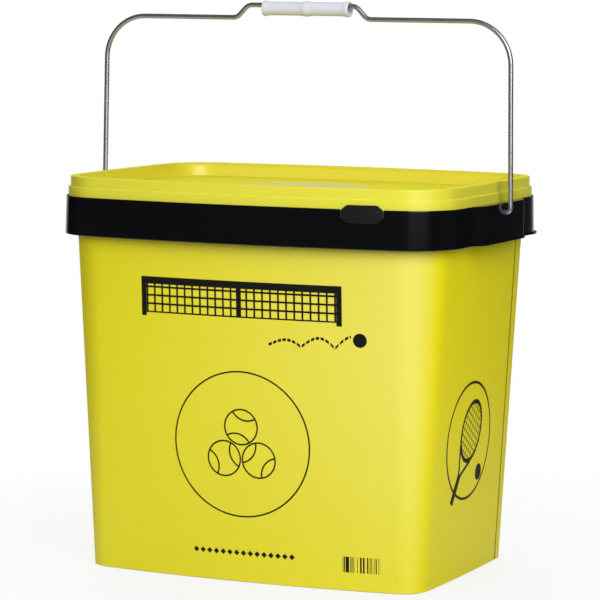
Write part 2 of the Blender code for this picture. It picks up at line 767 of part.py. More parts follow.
def crank_points(side):
    """One bend pair of the bail's crank, from the run up to the raised seat, as X and Z."""
    lift = CRANK_RADIUS * (1 - math.cos(CRANK_ANGLE))
    straight = (CRANK_RISE - 2 * lift) / math.sin(CRANK_ANGLE)
    length = 2 * CRANK_RADIUS * math.sin(CRANK_ANGLE) + straight * math.cos(CRANK_ANGLE)
    start = CRANK_HALF_LENGTH + length / 2
    steps = 4
    points = []
    for step in range(steps + 1):
        turn = CRANK_ANGLE * step / steps
        points.append((start - CRANK_RADIUS * math.sin(turn), CRANK_RADIUS * (1 - math.cos(turn))))
    for step in range(steps, -1, -1):
        turn = CRANK_ANGLE * step / steps
        x = start - length + CRANK_RADIUS * math.sin(turn)
        points.append((x, CRANK_RISE - CRANK_RADIUS * (1 - math.cos(turn))))
    return [(CRANK_CENTRE + side * x, BAIL_RUN_HEIGHT + z) for x, z in points]


def bail_half(side):
    """Centreline of half the bail as X and Z, from the hook's tip to the crank's top."""
    hook_top = HOOK_HEIGHT + HOOK_RADIUS
    leg_foot = HOOK_CENTRE + HOOK_RADIUS
    points = [(HOOK_CENTRE - HOOK_RADIUS, HOOK_HEIGHT + HOOK_TIP_RISE)]
    hook_steps = 10
    for step in range(hook_steps + 1):
        angle = math.pi + math.pi * step / hook_steps
        x = HOOK_CENTRE + HOOK_RADIUS * math.cos(angle)
        points.append((x, hook_top + HOOK_RADIUS * math.sin(angle)))
    shoulder_x = LEG_TOP - BAIL_SHOULDER_RADIUS
    shoulder_z = BAIL_RUN_HEIGHT - BAIL_SHOULDER_RADIUS
    points.append(((leg_foot + LEG_TOP) / 2, (hook_top + shoulder_z) / 2))
    shoulder_steps = 8
    for step in range(shoulder_steps + 1):
        angle = math.pi / 2 * step / shoulder_steps
        x = shoulder_x + BAIL_SHOULDER_RADIUS * math.cos(angle)
        points.append((x, shoulder_z + BAIL_SHOULDER_RADIUS * math.sin(angle)))
    return [(side * x, z) for x, z in points] + crank_points(side)


def make_bail(parts, material):
    """The wire handle, whose origin is on the line through both hooks."""
    points = bail_half(-1) + list(reversed(bail_half(1)))
    curve = bpy.data.curves.new("bail_wire", "CURVE")
    curve.dimensions = "3D"
    curve.bevel_depth = WIRE_RADIUS
    curve.bevel_resolution = 3
    curve.use_fill_caps = True
    spline = curve.splines.new("POLY")
    spline.points.add(len(points) - 1)
    for point, (x, z) in zip(spline.points, points):
        point.co = (x, 0, z - HOOK_HEIGHT, 1)
    curve.materials.append(material)
    bail = bpy.data.objects.new("bail_wire", curve)
    bail.location.z = HOOK_HEIGHT
    parts.objects.link(bail)
    return bail


def grip_bore_radius():
    """Radius of the grip's bore."""
    return GRIP_RADIUS - GRIP_WALL


def grip_height():
    """Height of the grip's axis as it hangs on the crank."""
    return BAIL_RUN_HEIGHT + CRANK_RISE - (grip_bore_radius() - WIRE_RADIUS - SEAT_GAP)


def grip_profile():
    """Closed profile of the grip, down its outer side and up its bore."""
    half = GRIP_LENGTH / 2
    bore = grip_bore_radius()
    swell = GRIP_END_RADIUS - GRIP_RADIUS
    bulge = GRIP_BULGE_RADIUS - GRIP_RADIUS
    upper = [(GRIP_END_RADIUS - GRIP_EDGE, half), (GRIP_END_RADIUS, half - GRIP_EDGE)]
    for share in (0.35, 0.6, 0.8, 1.0):
        radius = GRIP_RADIUS + swell * (0.5 + 0.5 * math.cos(math.pi * share))
        upper.append((radius, half - GRIP_EDGE - GRIP_FLARE_LENGTH * share))
    for share in (1.0, 0.72, 0.45, 0.2, 0.0):
        radius = GRIP_RADIUS + bulge * (0.5 + 0.5 * math.cos(math.pi * share))
        upper.append((radius, GRIP_BULGE_HALF_LENGTH * share))
    lower = [(radius, -height) for radius, height in reversed(upper[:-1])]
    mouth = bore + GRIP_BORE_FLARE
    inner = [(mouth, -half), (bore, -half + GRIP_EDGE), (bore, half - GRIP_EDGE), (mouth, half)]
    return upper + lower + inner


def make_grip(parts, material):
    """The turned grip, whose origin is on its own axis."""
    shape = bmesh.new()
    verts = [shape.verts.new((radius, 0, height)) for radius, height in grip_profile()]
    for index, vert in enumerate(verts):
        shape.edges.new((vert, verts[(index + 1) % len(verts)]))
    grip = object_from_bmesh("bail_grip", shape, parts, material)
    turn = grip.modifiers.new("turn", "SCREW")
    turn.steps = TURN_STEPS
    turn.render_steps = TURN_STEPS
    turn.use_merge_vertices = True
    turn.merge_threshold = 0.00001
    turn.use_smooth_shade = True
    grip.rotation_euler.y = math.radians(90)
    grip.location = (GRIP_CENTRE, 0, grip_height())
    return grip


def main():
    """Build every piece of the bucket."""
    clear_scene()
    parts = new_collection("tennis_ball_bucket")
    helpers = new_collection("cutters")
    black = new_material("black_plastic", BLACK_PLASTIC, 0.25)
    make_bucket(parts, helpers, black)
    make_wrap_label(parts, new_material("yellow_film", YELLOW_FILM, 0.35))
    make_lid(parts, new_material("yellow_plastic", YELLOW_PLASTIC, 0.4))
    make_lid_label(parts, new_material("pale_film", PALE_FILM, 0.5))
    make_tab(parts, black)
    steel = new_material("galvanised_steel", GALVANISED_STEEL, 0.3, 1.0)
    make_bail(parts, steel)
    make_grip(parts, new_material("white_plastic", WHITE_PLASTIC, 0.35))
    bpy.context.view_layer.update()


main()
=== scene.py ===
"""Looks of the ball bucket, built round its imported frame.

Lengths are in millimetres until a mesh is made. The front faces -Y, and +Z is up.
"""

import logging
import math
from contextlib import contextmanager
from dataclasses import dataclass, field, replace
from enum import Enum
from functools import cache, partial, reduce
from typing import Callable, Iterator, Sequence

import bmesh
import bpy
from mathutils import Matrix, Vector


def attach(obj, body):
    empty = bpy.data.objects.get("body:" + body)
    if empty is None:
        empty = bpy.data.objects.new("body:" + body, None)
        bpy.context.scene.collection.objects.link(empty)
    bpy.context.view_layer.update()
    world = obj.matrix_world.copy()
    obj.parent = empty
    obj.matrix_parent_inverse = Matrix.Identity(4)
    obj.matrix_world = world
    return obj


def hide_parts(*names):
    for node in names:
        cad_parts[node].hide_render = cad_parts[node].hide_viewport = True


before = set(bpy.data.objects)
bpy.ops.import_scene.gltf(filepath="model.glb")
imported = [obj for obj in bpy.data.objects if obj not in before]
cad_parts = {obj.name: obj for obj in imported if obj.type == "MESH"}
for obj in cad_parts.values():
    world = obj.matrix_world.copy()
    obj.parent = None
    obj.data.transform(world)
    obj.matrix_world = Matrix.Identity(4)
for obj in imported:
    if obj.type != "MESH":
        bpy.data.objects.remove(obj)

logging.basicConfig(level=logging.INFO, format="%(levelname)s %(message)s")
log = logging.getLogger("ball_bucket")

MM = 0.001
SAME_PLACE = 1e-6
Point2 = tuple[float, float]
Point3 = tuple[float, float, float]
Area = tuple[Point2, Point2]
Socket = bpy.types.NodeSocket
Value = float | Point3 | Socket


# Outlines of the bucket seen from above


@dataclass(frozen=True)
class Outline:
    """A rounded rectangle, seen from above, whose four sides bow outwards."""

    half_width: float
    half_depth: float
    corner_radius: float
    front_bow: float
    side_bow: float

    def inset(self, distance: float) -> "Outline":
        """Return the outline that runs at this distance inside this one."""
        return replace(
            self,
            half_width=self.half_width - distance,
            half_depth=self.half_depth - distance,
            corner_radius=self.corner_radius - distance,
        )

    def towards(self, other: "Outline", share: float) -> "Outline":
        """Return the outline that lies this share of the way to another one.

        Args:
            other: The outline at a share of one.
            share: How far to go, which may be more than one.

        Returns:
            The blended outline.
        """
        names = ("half_width", "half_depth", "corner_radius", "front_bow", "side_bow")
        pairs = ((getattr(self, name), getattr(other, name)) for name in names)
        return Outline(*(start + (end - start) * share for start, end in pairs))

    @property
    def corner_centre(self) -> Point2:
        """Centre of the corner at +X, +Y."""
        x = self.half_width - self.side_bow - self.corner_radius
        y = self.half_depth - self.front_bow - self.corner_radius
        return x, y

    @property
    def front_radius(self) -> float:
        """Radius of the front's bow."""
        chord = self.corner_centre[0]
        return (chord**2 + self.front_bow**2) / (2 * self.front_bow) + self.corner_radius

    @property
    def side_radius(self) -> float:
        """Radius of the side's bow."""
        chord = self.corner_centre[1]
        return (chord**2 + self.side_bow**2) / (2 * self.side_bow) + self.corner_radius

    def front_y(self, x: float) -> float:
        """Y of the front's face at this x, between the corners."""
        return self.front_radius - self.half_depth - math.sqrt(self.front_radius**2 - x**2)

    def side_x(self, y: float) -> float:
        """X of the +X side's face at this y, between the corners."""
        return self.half_width - self.side_radius + math.sqrt(self.side_radius**2 - y**2)

    def points(self, corner: int = 16, front: int = 24, side: int = 16) -> list[Point2]:
        """Sample the outline, anticlockwise from the middle of the +X side.

        Args:
            corner: Steps in each corner.
            front: Steps along the front, and along the back.
            side: Steps along each side, an even number.

        Returns:
            The points as X and Y.
        """
        cx, cy = self.corner_centre
        turn_side = math.asin(cy / (self.side_radius - self.corner_radius))
        turn_front = math.asin(cx / (self.front_radius - self.corner_radius))
        side_x = self.half_width - self.side_radius
        front_y = self.half_depth - self.front_radius
        right, left = math.pi / 2 - turn_front, math.pi / 2 + turn_front
        half = arc((side_x, 0), self.side_radius, 0, turn_side, side // 2)
        half += arc((cx, cy), self.corner_radius, turn_side, right, corner)
        half += arc((0, front_y), self.front_radius, right, left, front)
        half += arc((-cx, cy), self.corner_radius, left, math.pi - turn_side, corner)
        half += arc((-side_x, 0), self.side_radius, math.pi - turn_side, math.pi, side // 2)
        return half + [(-x, -y) for x, y in half]


def arc(centre: Point2, radius: float, start: float, end: float, steps: int) -> list[Point2]:
    """Points of a circle from one angle towards another, the last one left out.

    Args:
        centre: The circle's centre.
        radius: The circle's radius.
        start: First angle, in radians.
        end: Last angle, in radians.
        steps: Number of steps, and of points.

    Returns:
        The points.
    """
    turns = [start + (end - start) * step / steps for step in range(steps)]
    return [(centre[0] + radius * math.cos(a), centre[1] + radius * math.sin(a)) for a in turns]


def rectangle(low: Point2, high: Point2) -> list[Point2]:
    """Four corners of a rectangle, anticlockwise from the lowest."""
    return [low, (high[0], low[1]), high, (low[0], high[1])]


FOOT = Outline(162.7, 118.9, 22.9, 9.1, 1.5)
SHOULDER = Outline(179.2, 135.2, 42.1, 7.7, 1.8)
SHOULDER_HEIGHT = 294.5
SKIRT = Outline(190.0, 148.3, 50.2, 10.5, 1.3)
SKIRT_FOOT = 301.1
WEB_UNDERSIDE = 324.6
FENCE_TOP = 335.4
FENCE_DRAFT = 0.9
HOLDING_GAP = 0.5


class Family(Enum):
    """Which outline a station's inset is measured from."""

    WALL = "wall"
    SKIRT = "skirt"

    def outline(self, height: float) -> Outline:
        """Return the outline that insets are measured from at this height."""
        if self is Family.WALL:
            return FOOT.towards(SHOULDER, height / SHOULDER_HEIGHT)
        return SKIRT


@dataclass(frozen=True)
class Turn:
    """One corner of a profile: inset, height and the radius that rounds it."""

    inset: float
    height: float
    rounding: float = 0.0


def profile(*corners: Sequence[float]) -> tuple[Turn, ...]:
    """Make a profile from its corners' numbers."""
    return tuple(Turn(*corner) for corner in corners)


def rounded_path(turns: Sequence[Turn], steps: int = 4) -> list[Point2]:
    """Round the inner corners of an open profile.

    Args:
        turns: The corners in order.
        steps: Steps in each rounding.

    Returns:
        Points as inset and height.
    """
    path = [(turns[0].inset, turns[0].height)]
    for before, turn, after in zip(turns, turns[1:], turns[2:]):
        here = Vector((turn.inset, turn.height))
        if turn.rounding == 0:
            path.append(tuple(here))
            continue
        back = (Vector((before.inset, before.height)) - here).normalized()
        ahead = (Vector((after.inset, after.height)) - here).normalized()
        half_angle = back.angle(ahead) / 2
        centre = here + (back + ahead).normalized() * turn.rounding / math.sin(half_angle)
        start = here + back * turn.rounding / math.tan(half_angle) - centre
        sweep = start.angle_signed(here + ahead * turn.rounding / math.tan(half_angle) - centre)
        for step in range(steps + 1):
            arm = start.copy()
            arm.rotate(Matrix.Rotation(-sweep * step / steps, 2))
            path.append(tuple(centre + arm))
    path.append((turns[-1].inset, turns[-1].height))
    return path


def rings_of(
    family: Family, turns: Sequence[Turn], steps: int = 4, reach: float = 40.0
) -> list[list[Point3]]:
    """Turn a profile into rings of points round the bucket.

    Args:
        family: The outline that the profile follows.
        turns: The profile's corners.
        steps: Steps in each rounding.
        reach: Longest rise between two rings.

    Returns:
        One list of points for each ring. Long stretches get a ring near each end, which keeps
        them flat when the piece is shaded smooth.
    """
    path = rounded_path(turns, steps)
    full = [path[0]]
    for (inset_a, low), (inset_b, high) in zip(path, path[1:]):
        length = math.hypot(inset_b - inset_a, high - low)
        parts = max(1, math.ceil(abs(high - low) / reach))
        shares = [part / parts for part in range(1, parts + 1)]
        if length > 3 * HOLDING_GAP:
            shares = [HOLDING_GAP / length, *shares[:-1], 1 - HOLDING_GAP / length, 1.0]
        for share in shares:
            full.append((inset_a + (inset_b - inset_a) * share, low + (high - low) * share))
    return [[(x, y, z) for x, y in family.outline(z).inset(inset).points()] for inset, z in full]


# Tools for modelling


class Boolean(Enum):
    """How one piece changes another."""

    JOIN = "UNION"
    CUT = "DIFFERENCE"


def deselect() -> None:
    """Leave edit mode and deselect everything."""
    if bpy.context.object and bpy.context.object.mode != "OBJECT":
        bpy.ops.object.mode_set(mode="OBJECT")
    bpy.ops.object.select_all(action="DESELECT")


def only(piece: bpy.types.Object) -> None:
    """Select this object alone and make it the active one."""
    deselect()
    piece.select_set(True)
    bpy.context.view_layer.objects.active = piece


@contextmanager
def editing(piece: bpy.types.Object, mode: str = "VERT") -> Iterator[None]:
    """Keep a piece in edit mode for a while.

    Args:
        piece: The object to edit.
        mode: What is selected meanwhile: VERT, EDGE or FACE.
    """
    only(piece)
    bpy.ops.object.mode_set(mode="EDIT")
    bpy.ops.mesh.select_mode(type=mode)
    yield
    bpy.ops.mesh.select_mode(type="VERT")
    bpy.ops.object.mode_set(mode="OBJECT")


def face_outwards() -> None:
    """Turn every face of the piece in edit mode outwards."""
    bpy.ops.mesh.select_all(action="SELECT")
    bpy.ops.mesh.normals_make_consistent(inside=False)


def merge_doubles(piece: bpy.types.Object) -> None:
    """Merge the vertices that share a place, and turn the faces outwards."""
    with editing(piece):
        bpy.ops.mesh.select_all(action="SELECT")
        bpy.ops.mesh.remove_doubles(threshold=SAME_PLACE)
        face_outwards()


def metres(point: Sequence[float]) -> Vector:
    """Turn a point in millimetres into one in metres."""
    return Vector(point) * MM


def key_of(point: Vector, fineness: float = 1e8) -> tuple[int, ...]:
    """Name a place to a hundredth of a micrometre, so that it can be looked up."""
    return tuple(round(c * fineness) for c in point)


def extrude_rings(
    name: str, rings: Sequence[Sequence[Point3]], capped: bool = True
) -> bpy.types.Object:
    """Extrude a first ring through all the others.

    Args:
        name: The piece's name.
        rings: Rings of equally many points, in millimetres.
        capped: Whether the first and last rings are closed by a face.

    Returns:
        The new object, with its faces pointing outwards when it is closed.
    """
    deselect()
    fill = "NGON" if capped else "NOTHING"
    bpy.ops.mesh.primitive_circle_add(vertices=len(rings[0]), fill_type=fill)
    piece = bpy.context.object
    piece.name = name
    for vert, point in zip(piece.data.vertices, rings[0]):
        vert.co = metres(point)
    with editing(piece):
        bpy.ops.mesh.select_all(action="SELECT")
        for ring, following in zip(rings, rings[1:]):
            places = {key_of(metres(old)): metres(new) for old, new in zip(ring, following)}
            bpy.ops.mesh.extrude_region_move()
            mesh = bmesh.from_edit_mesh(piece.data)
            for vert in mesh.verts:
                if vert.select:
                    vert.co = places[key_of(vert.co)]
            bmesh.update_edit_mesh(piece.data)
        if capped:
            face_outwards()
    return piece


def prism(name: str, plan: Sequence[Point2], low: float, high: float) -> bpy.types.Object:
    """Extrude a plan from one height to another."""
    return extrude_rings(name, [[(x, y, z) for x, y in plan] for z in (low, high)])


def edit_bevel(
    piece: bpy.types.Object,
    width: float,
    chosen: Callable[[bmesh.types.BMEdge], bool],
    segments: int = 3,
) -> None:
    """Bevel the edges that a test picks.

    Args:
        piece: The object to shape.
        width: Bevel width in millimetres.
        chosen: Test that says whether an edge is bevelled.
        segments: Number of segments.
    """
    with editing(piece, "EDGE"):
        bpy.ops.mesh.select_all(action="DESELECT")
        mesh = bmesh.from_edit_mesh(piece.data)
        for edge in mesh.edges:
            edge.select_set(chosen(edge))
        mesh.select_flush_mode()
        bmesh.update_edit_mesh(piece.data)
        bpy.ops.mesh.bevel(offset=width * MM, segments=segments, affect="EDGES", profile=0.5)


def modify(piece: bpy.types.Object, kind: str, **settings: object) -> None:
    """Apply one modifier to a piece.

    Args:
        piece: The object to shape.
        kind: The modifier's type.
        settings: The modifier's own properties.
    """
    only(piece)
    step = piece.modifiers.new(kind, kind)
    for name, setting in settings.items():
        setattr(step, name, setting)
    bpy.ops.object.modifier_apply(modifier=step.name)


def combine(piece: bpy.types.Object, other: bpy.types.Object, how: Boolean) -> None:
    """Join another object to this one or cut it away, and remove the other."""
    modify(piece, "BOOLEAN", operation=how.value, solver="EXACT", object=other)
    bpy.data.objects.remove(other, do_unlink=True)


def joined(name: str, pieces: Sequence[bpy.types.Object]) -> bpy.types.Object:
    """Join objects that don't touch into one.

    Args:
        name: Name of the joined object.
        pieces: The objects.

    Returns:
        The joined object.
    """
    deselect()
    for piece in pieces:
        piece.select_set(True)
    bpy.context.view_layer.objects.active = pieces[0]
    bpy.ops.object.join()
    bpy.context.object.name = name
    return bpy.context.object


def place(piece: bpy.types.Object, matrix: Matrix) -> None:
    """Put an object somewhere and move that place into its mesh."""
    piece.matrix_world = matrix
    only(piece)
    bpy.ops.object.transform_apply(location=True, rotation=True, scale=True)


def finish_piece(
    piece: bpy.types.Object,
    body: str,
    node: str,
    material: bpy.types.Material,
    angle: float = 32.0,
) -> None:
    """Shade a piece, dress it and tie it to the frame.

    Args:
        piece: The finished mesh.
        body: The CAD body that it rides on.
        node: The CAD node that it stands for.
        material: Its material.
        angle: Sharpest angle that is shaded smooth, in degrees.
    """
    only(piece)
    bpy.ops.object.shade_smooth_by_angle(angle=math.radians(angle))
    piece.data.materials.clear()
    piece.data.materials.append(material)
    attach(piece, body)
    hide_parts(node)
    log.info("%s: %d faces, rides on %s", piece.name, len(piece.data.polygons), body)


# Tools for materials


class Easing(Enum):
    """How a step runs from one level to the other."""

    LINEAR = "LINEAR"
    SMOOTH = "SMOOTHSTEP"


class Kind(Enum):
    """Type of a group's socket."""

    NUMBER = "NodeSocketFloat"
    VECTOR = "NodeSocketVector"


class Graph:
    """Adds nodes to one node tree and links them by their sockets."""

    def __init__(self, tree: bpy.types.NodeTree) -> None:
        """Keep the tree that nodes are added to."""
        self.tree = tree

    def add(
        self, kind: str, inputs: dict[str | int, Value] | None = None, **settings: object
    ) -> bpy.types.Node:
        """Add a node.

        Args:
            kind: The node's type.
            inputs: A value or a socket for each input, by its name or number.
            settings: The node's own properties.

        Returns:
            The new node.
        """
        node = self.tree.nodes.new(kind)
        for name, setting in settings.items():
            setattr(node, name, setting)
        for name, value in (inputs or {}).items():
            self.feed(node.inputs[name], value)
        return node

    def feed(self, socket: Socket, value: Value) -> None:
        """Set an input to a value or link it to another socket.

        Args:
            socket: The input.
            value: A number, a vector, a colour without its alpha, or an output to link.
        """
        if isinstance(value, bpy.types.NodeSocket):
            self.tree.links.new(value, socket)
        else:
            socket.default_value = (*value, 1.0) if socket.type == "RGBA" else value

    def math(self, operation: str, *values: Value) -> Socket:
        """Return the result of a Math node on these values."""
        return self.add("ShaderNodeMath", dict(enumerate(values)), operation=operation).outputs[0]

    def vector(self, operation: str, *values: Value) -> bpy.types.NodeOutputs:
        """Return the outputs of a Vector Math node on these values."""
        node = self.add("ShaderNodeVectorMath", dict(enumerate(values)), operation=operation)
        return node.outputs

    def axes(self, vector: Socket) -> tuple[Socket, ...]:
        """Return the X, Y and Z of a vector."""
        return tuple(self.add("ShaderNodeSeparateXYZ", {0: vector}).outputs)

    def total(self, *masks: Socket) -> Socket:
        """Return the union of masks."""
        return reduce(partial(self.math, "MAXIMUM"), masks)

    def both(self, *masks: Socket) -> Socket:
        """Return the overlap of masks."""
        return reduce(partial(self.math, "MULTIPLY"), masks)

    def near(self, value: Socket, spot: Value, reach: Value) -> Socket:
        """Mask where a value is at most this far from a spot."""
        return self.math("COMPARE", value, spot, reach)

    def between(self, value: Socket, low: float, high: float) -> Socket:
        """Mask where a value lies between two limits."""
        return self.near(value, (low + high) / 2, (high - low) / 2)

    def from_line(self, value: Socket, start: float, pitch: float) -> Socket:
        """Distance to the nearest of a row of lines, of which one is at the start."""
        return self.math("PINGPONG", self.math("SUBTRACT", value, start), pitch / 2)

    def box(self, u: Socket, v: Socket, low: Point2, high: Point2) -> Socket:
        """Mask of a rectangle."""
        return self.both(self.between(u, low[0], high[0]), self.between(v, low[1], high[1]))

    def offset(self, u: Socket, v: Socket, centre: Point2) -> tuple[Socket, Socket]:
        """Coordinates about a centre."""
        return self.math("SUBTRACT", u, centre[0]), self.math("SUBTRACT", v, centre[1])

    def length(self, u: Socket, v: Socket, centre: Point2) -> Socket:
        """Distance from a point."""
        squares = (self.math("MULTIPLY", part, part) for part in self.offset(u, v, centre))
        return self.math("SQRT", self.math("ADD", *squares))

    def ring(self, u: Socket, v: Socket, centre: Point2, radius: float, line: float) -> Socket:
        """Mask of a circle drawn with a line of this width."""
        return self.near(self.length(u, v, centre), radius, line / 2)

    def disc(self, u: Socket, v: Socket, centre: Point2, radius: float) -> Socket:
        """Mask of a filled circle."""
        return self.math("LESS_THAN", self.length(u, v, centre), radius)

    def turned(
        self, u: Socket, v: Socket, centre: Point2, degrees: float
    ) -> tuple[Socket, Socket]:
        """Coordinates about a centre, turned by an angle.

        Args:
            u: First coordinate.
            v: Second coordinate.
            centre: The new origin.
            degrees: Angle of the new first axis from the old one.

        Returns:
            The new coordinates.
        """
        cos, sin = math.cos(math.radians(degrees)), math.sin(math.radians(degrees))
        across, up = self.offset(u, v, centre)
        scaled = partial(self.math, "MULTIPLY")
        first = self.math("ADD", scaled(across, cos), scaled(up, sin))
        second = self.math("SUBTRACT", scaled(up, cos), scaled(across, sin))
        return first, second

    def mix(self, factor: Value, first: Value, second: Value) -> Socket:
        """Return the mix of two colours."""
        inputs = {"Factor": factor, "A": first, "B": second}
        return self.add("ShaderNodeMix", inputs, data_type="RGBA").outputs["Result"]

    def ramp(
        self, value: Socket, reach: Point2, levels: Point2, easing: Easing = Easing.SMOOTH
    ) -> Socket:
        """Step of a value.

        Args:
            value: The value.
            reach: Where the step starts and ends.
            levels: The result before and after it.
            easing: How it runs between them.

        Returns:
            The result.
        """
        limits = dict(zip(("From Min", "From Max", "To Min", "To Max"), (*reach, *levels)))
        inputs = {"Value": value, **limits}
        node = self.add("ShaderNodeMapRange", inputs, interpolation_type=easing.value)
        return node.outputs["Result"]

    def span(self, value: Socket, low: float, high: float) -> Socket:
        """Stretch a value from 0..1 to these limits."""
        return self.ramp(value, (0.0, 1.0), (low, high), Easing.LINEAR)

    def noise(self, vector: Socket, scale: Value, detail: float, roughness: float) -> Socket:
        """Return a Noise Texture's strength."""
        inputs = {"Vector": vector, "Scale": scale, "Detail": detail, "Roughness": roughness}
        return self.add("ShaderNodeTexNoise", inputs).outputs["Fac"]


class Group(Graph):
    """A node group while its nodes are being added."""

    def __init__(self, name: str, inputs: dict[str, Kind], outputs: Sequence[str]) -> None:
        """Make the group and its sockets.

        Args:
            name: The group's name.
            inputs: Type of each input, by name.
            outputs: Names of the outputs, which are numbers.
        """
        super().__init__(bpy.data.node_groups.new(name, "ShaderNodeTree"))
        new_socket = self.tree.interface.new_socket
        for label, kind in inputs.items():
            new_socket(label, in_out="INPUT", socket_type=kind.value)
        for label in outputs:
            new_socket(label, in_out="OUTPUT", socket_type=Kind.NUMBER.value)
        self.source = self.add("NodeGroupInput").outputs
        self.sink = self.add("NodeGroupOutput")

    def close(self, *results: Socket) -> bpy.types.NodeTree:
        """Link the results to the group's outputs, in their order."""
        for number, result in enumerate(results):
            self.feed(self.sink.inputs[number], result)
        return self.tree


@cache
def skin_group() -> bpy.types.NodeTree:
    """Make the skin of a moulded or drawn piece: fine grain, slow clouds and faint smears."""
    kinds = {"Vector": Kind.VECTOR, "Grain Scale": Kind.NUMBER, "Cloud Scale": Kind.NUMBER}
    group = Group("moulded_skin", kinds, ("Grain", "Cloud", "Smear"))
    vector = group.source["Vector"]
    grain = group.noise(vector, group.source["Grain Scale"], 2.0, 0.55)
    cloud = group.noise(vector, group.source["Cloud Scale"], 3.0, 0.5)
    drawn_out = {"Vector": vector, "Scale": (14.0, 14.0, 5.0), "Rotation": (0.3, 0.2, 0.1)}
    smear = group.noise(group.add("ShaderNodeMapping", drawn_out).outputs[0], 1.0, 2.0, 0.5)
    return group.close(grain, cloud, smear)


@cache
def ball_group(seam_centre: float = 1.42) -> bpy.types.NodeTree:
    """Make the line drawing of a ball of radius one: its edge and two seam curves.

    Args:
        seam_centre: Distance from the ball's centre to those of its seams.

    Returns:
        The node group.
    """
    group = Group("ball_drawing", dict.fromkeys(("U", "V", "Line"), Kind.NUMBER), ("Mask",))
    u, v, half_line = (group.source[name] for name in ("U", "V", "Line"))
    reach = group.length(u, v, (0.0, 0.0))
    centres = ((seam_centre * side, 0.0) for side in (-1.0, 1.0))
    seams = [group.near(group.length(u, v, centre), 1.0, half_line) for centre in centres]
    inside = group.math("LESS_THAN", reach, 1.0)
    edge = group.near(reach, 1.0, half_line)
    return group.close(group.total(edge, group.both(group.total(*seams), inside)))


# Drawings on the film


class Drawing:
    """Something printed, in millimetres across and up."""

    def mask(self, graph: Graph, u: Socket, v: Socket) -> Socket:
        """Mask of the drawing's ink, from the coordinates across and up."""
        raise NotImplementedError


@dataclass(frozen=True)
class Circle(Drawing):
    """A circle drawn with a line."""

    centre: Point2
    radius: float
    line: float

    def mask(self, graph: Graph, u: Socket, v: Socket) -> Socket:
        """Draw the circle."""
        return graph.ring(u, v, self.centre, self.radius, self.line)


@dataclass(frozen=True)
class Spot(Drawing):
    """A filled circle."""

    centre: Point2
    radius: float

    def mask(self, graph: Graph, u: Socket, v: Socket) -> Socket:
        """Draw the spot."""
        return graph.disc(u, v, self.centre, self.radius)


@dataclass(frozen=True)
class LineBall(Drawing):
    """A ball drawn in lines, with its seams turned by an angle in degrees."""

    centre: Point2
    turn: float
    radius: float = 15.6
    half_line: float = 0.75

    def mask(self, graph: Graph, u: Socket, v: Socket) -> Socket:
        """Draw the ball."""
        across, up = graph.turned(u, v, self.centre, self.turn)
        inputs = {
            "U": graph.math("DIVIDE", across, self.radius),
            "V": graph.math("DIVIDE", up, self.radius),
            "Line": self.half_line / self.radius,
        }
        return graph.add("ShaderNodeGroup", inputs, node_tree=ball_group()).outputs["Mask"]


@dataclass(frozen=True)
class CourtNet(Drawing):
    """A court net: mesh, tape, two posts and a centre strap."""

    pitch: float = 7.5
    thread: float = 1.8
    first_threads: Point2 = (-1.0, 236.5)
    meshed: Area = ((-93.0, 236.0), (91.0, 262.0))
    tape: Area = ((-97.0, 261.5), (95.0, 268.0))
    left_post: Area = ((-97.0, 233.0), (-92.0, 268.0))
    right_post: Area = ((90.0, 233.0), (95.0, 268.0))
    strap: Area = ((-3.4, 236.0), (1.4, 262.0))

    def mask(self, graph: Graph, u: Socket, v: Socket) -> Socket:
        """Draw the net."""
        starts = zip((u, v), self.first_threads)
        away = [graph.from_line(value, start, self.pitch) for value, start in starts]
        threads = graph.total(*(graph.math("LESS_THAN", row, self.thread / 2) for row in away))
        mesh = graph.both(threads, graph.box(u, v, *self.meshed))
        solid = (self.tape, self.left_post, self.right_post, self.strap)
        return graph.total(mesh, *(graph.box(u, v, *area) for area in solid))


@dataclass(frozen=True)
class BouncePath(Drawing):
    """The dashed path of a bouncing ball, and the ball at its end."""

    start: float = 26.0
    end: float = 103.0
    ground: float = 213.6
    length: float = 78.0
    hops: float = 2.5
    heights: Point2 = (4.0, 11.0)
    half_line: float = 1.25
    dash_pitch: float = 4.4
    half_gap: float = 0.6
    ball: Spot = Spot((111.0, 221.5), 6.2)

    def mask(self, graph: Graph, u: Socket, v: Socket) -> Socket:
        """Draw the path and the ball."""
        share = graph.math("DIVIDE", graph.math("SUBTRACT", u, self.start), self.length)
        wave = graph.math("SINE", graph.math("MULTIPLY", share, math.pi * self.hops))
        rise = graph.both(graph.math("ABSOLUTE", wave), graph.span(share, *self.heights))
        line = graph.near(v, graph.math("ADD", rise, self.ground), self.half_line)
        gaps = graph.from_line(u, 0.0, self.dash_pitch)
        dashes = graph.math("GREATER_THAN", gaps, self.half_gap)
        path = graph.both(line, dashes, graph.between(u, self.start, self.end))
        return graph.total(path, self.ball.mask(graph, u, v))


@dataclass(frozen=True)
class PlainBars(Drawing):
    """Plain bars of uneven widths, with no digits."""

    module: float = 0.52
    pale_share: float = 0.48
    area: Area = ((93.3, 16.8), (127.2, 30.9))

    def mask(self, graph: Graph, u: Socket, v: Socket) -> Socket:
        """Draw the bars."""
        along = graph.math("SUBTRACT", u, self.area[0][0])
        count = graph.math("FLOOR", graph.math("DIVIDE", along, self.module))
        chance = graph.add("ShaderNodeTexWhiteNoise", {"W": count}, noise_dimensions="1D")
        dark = graph.math("GREATER_THAN", chance.outputs["Value"], self.pale_share)
        return graph.both(dark, graph.box(u, v, *self.area))


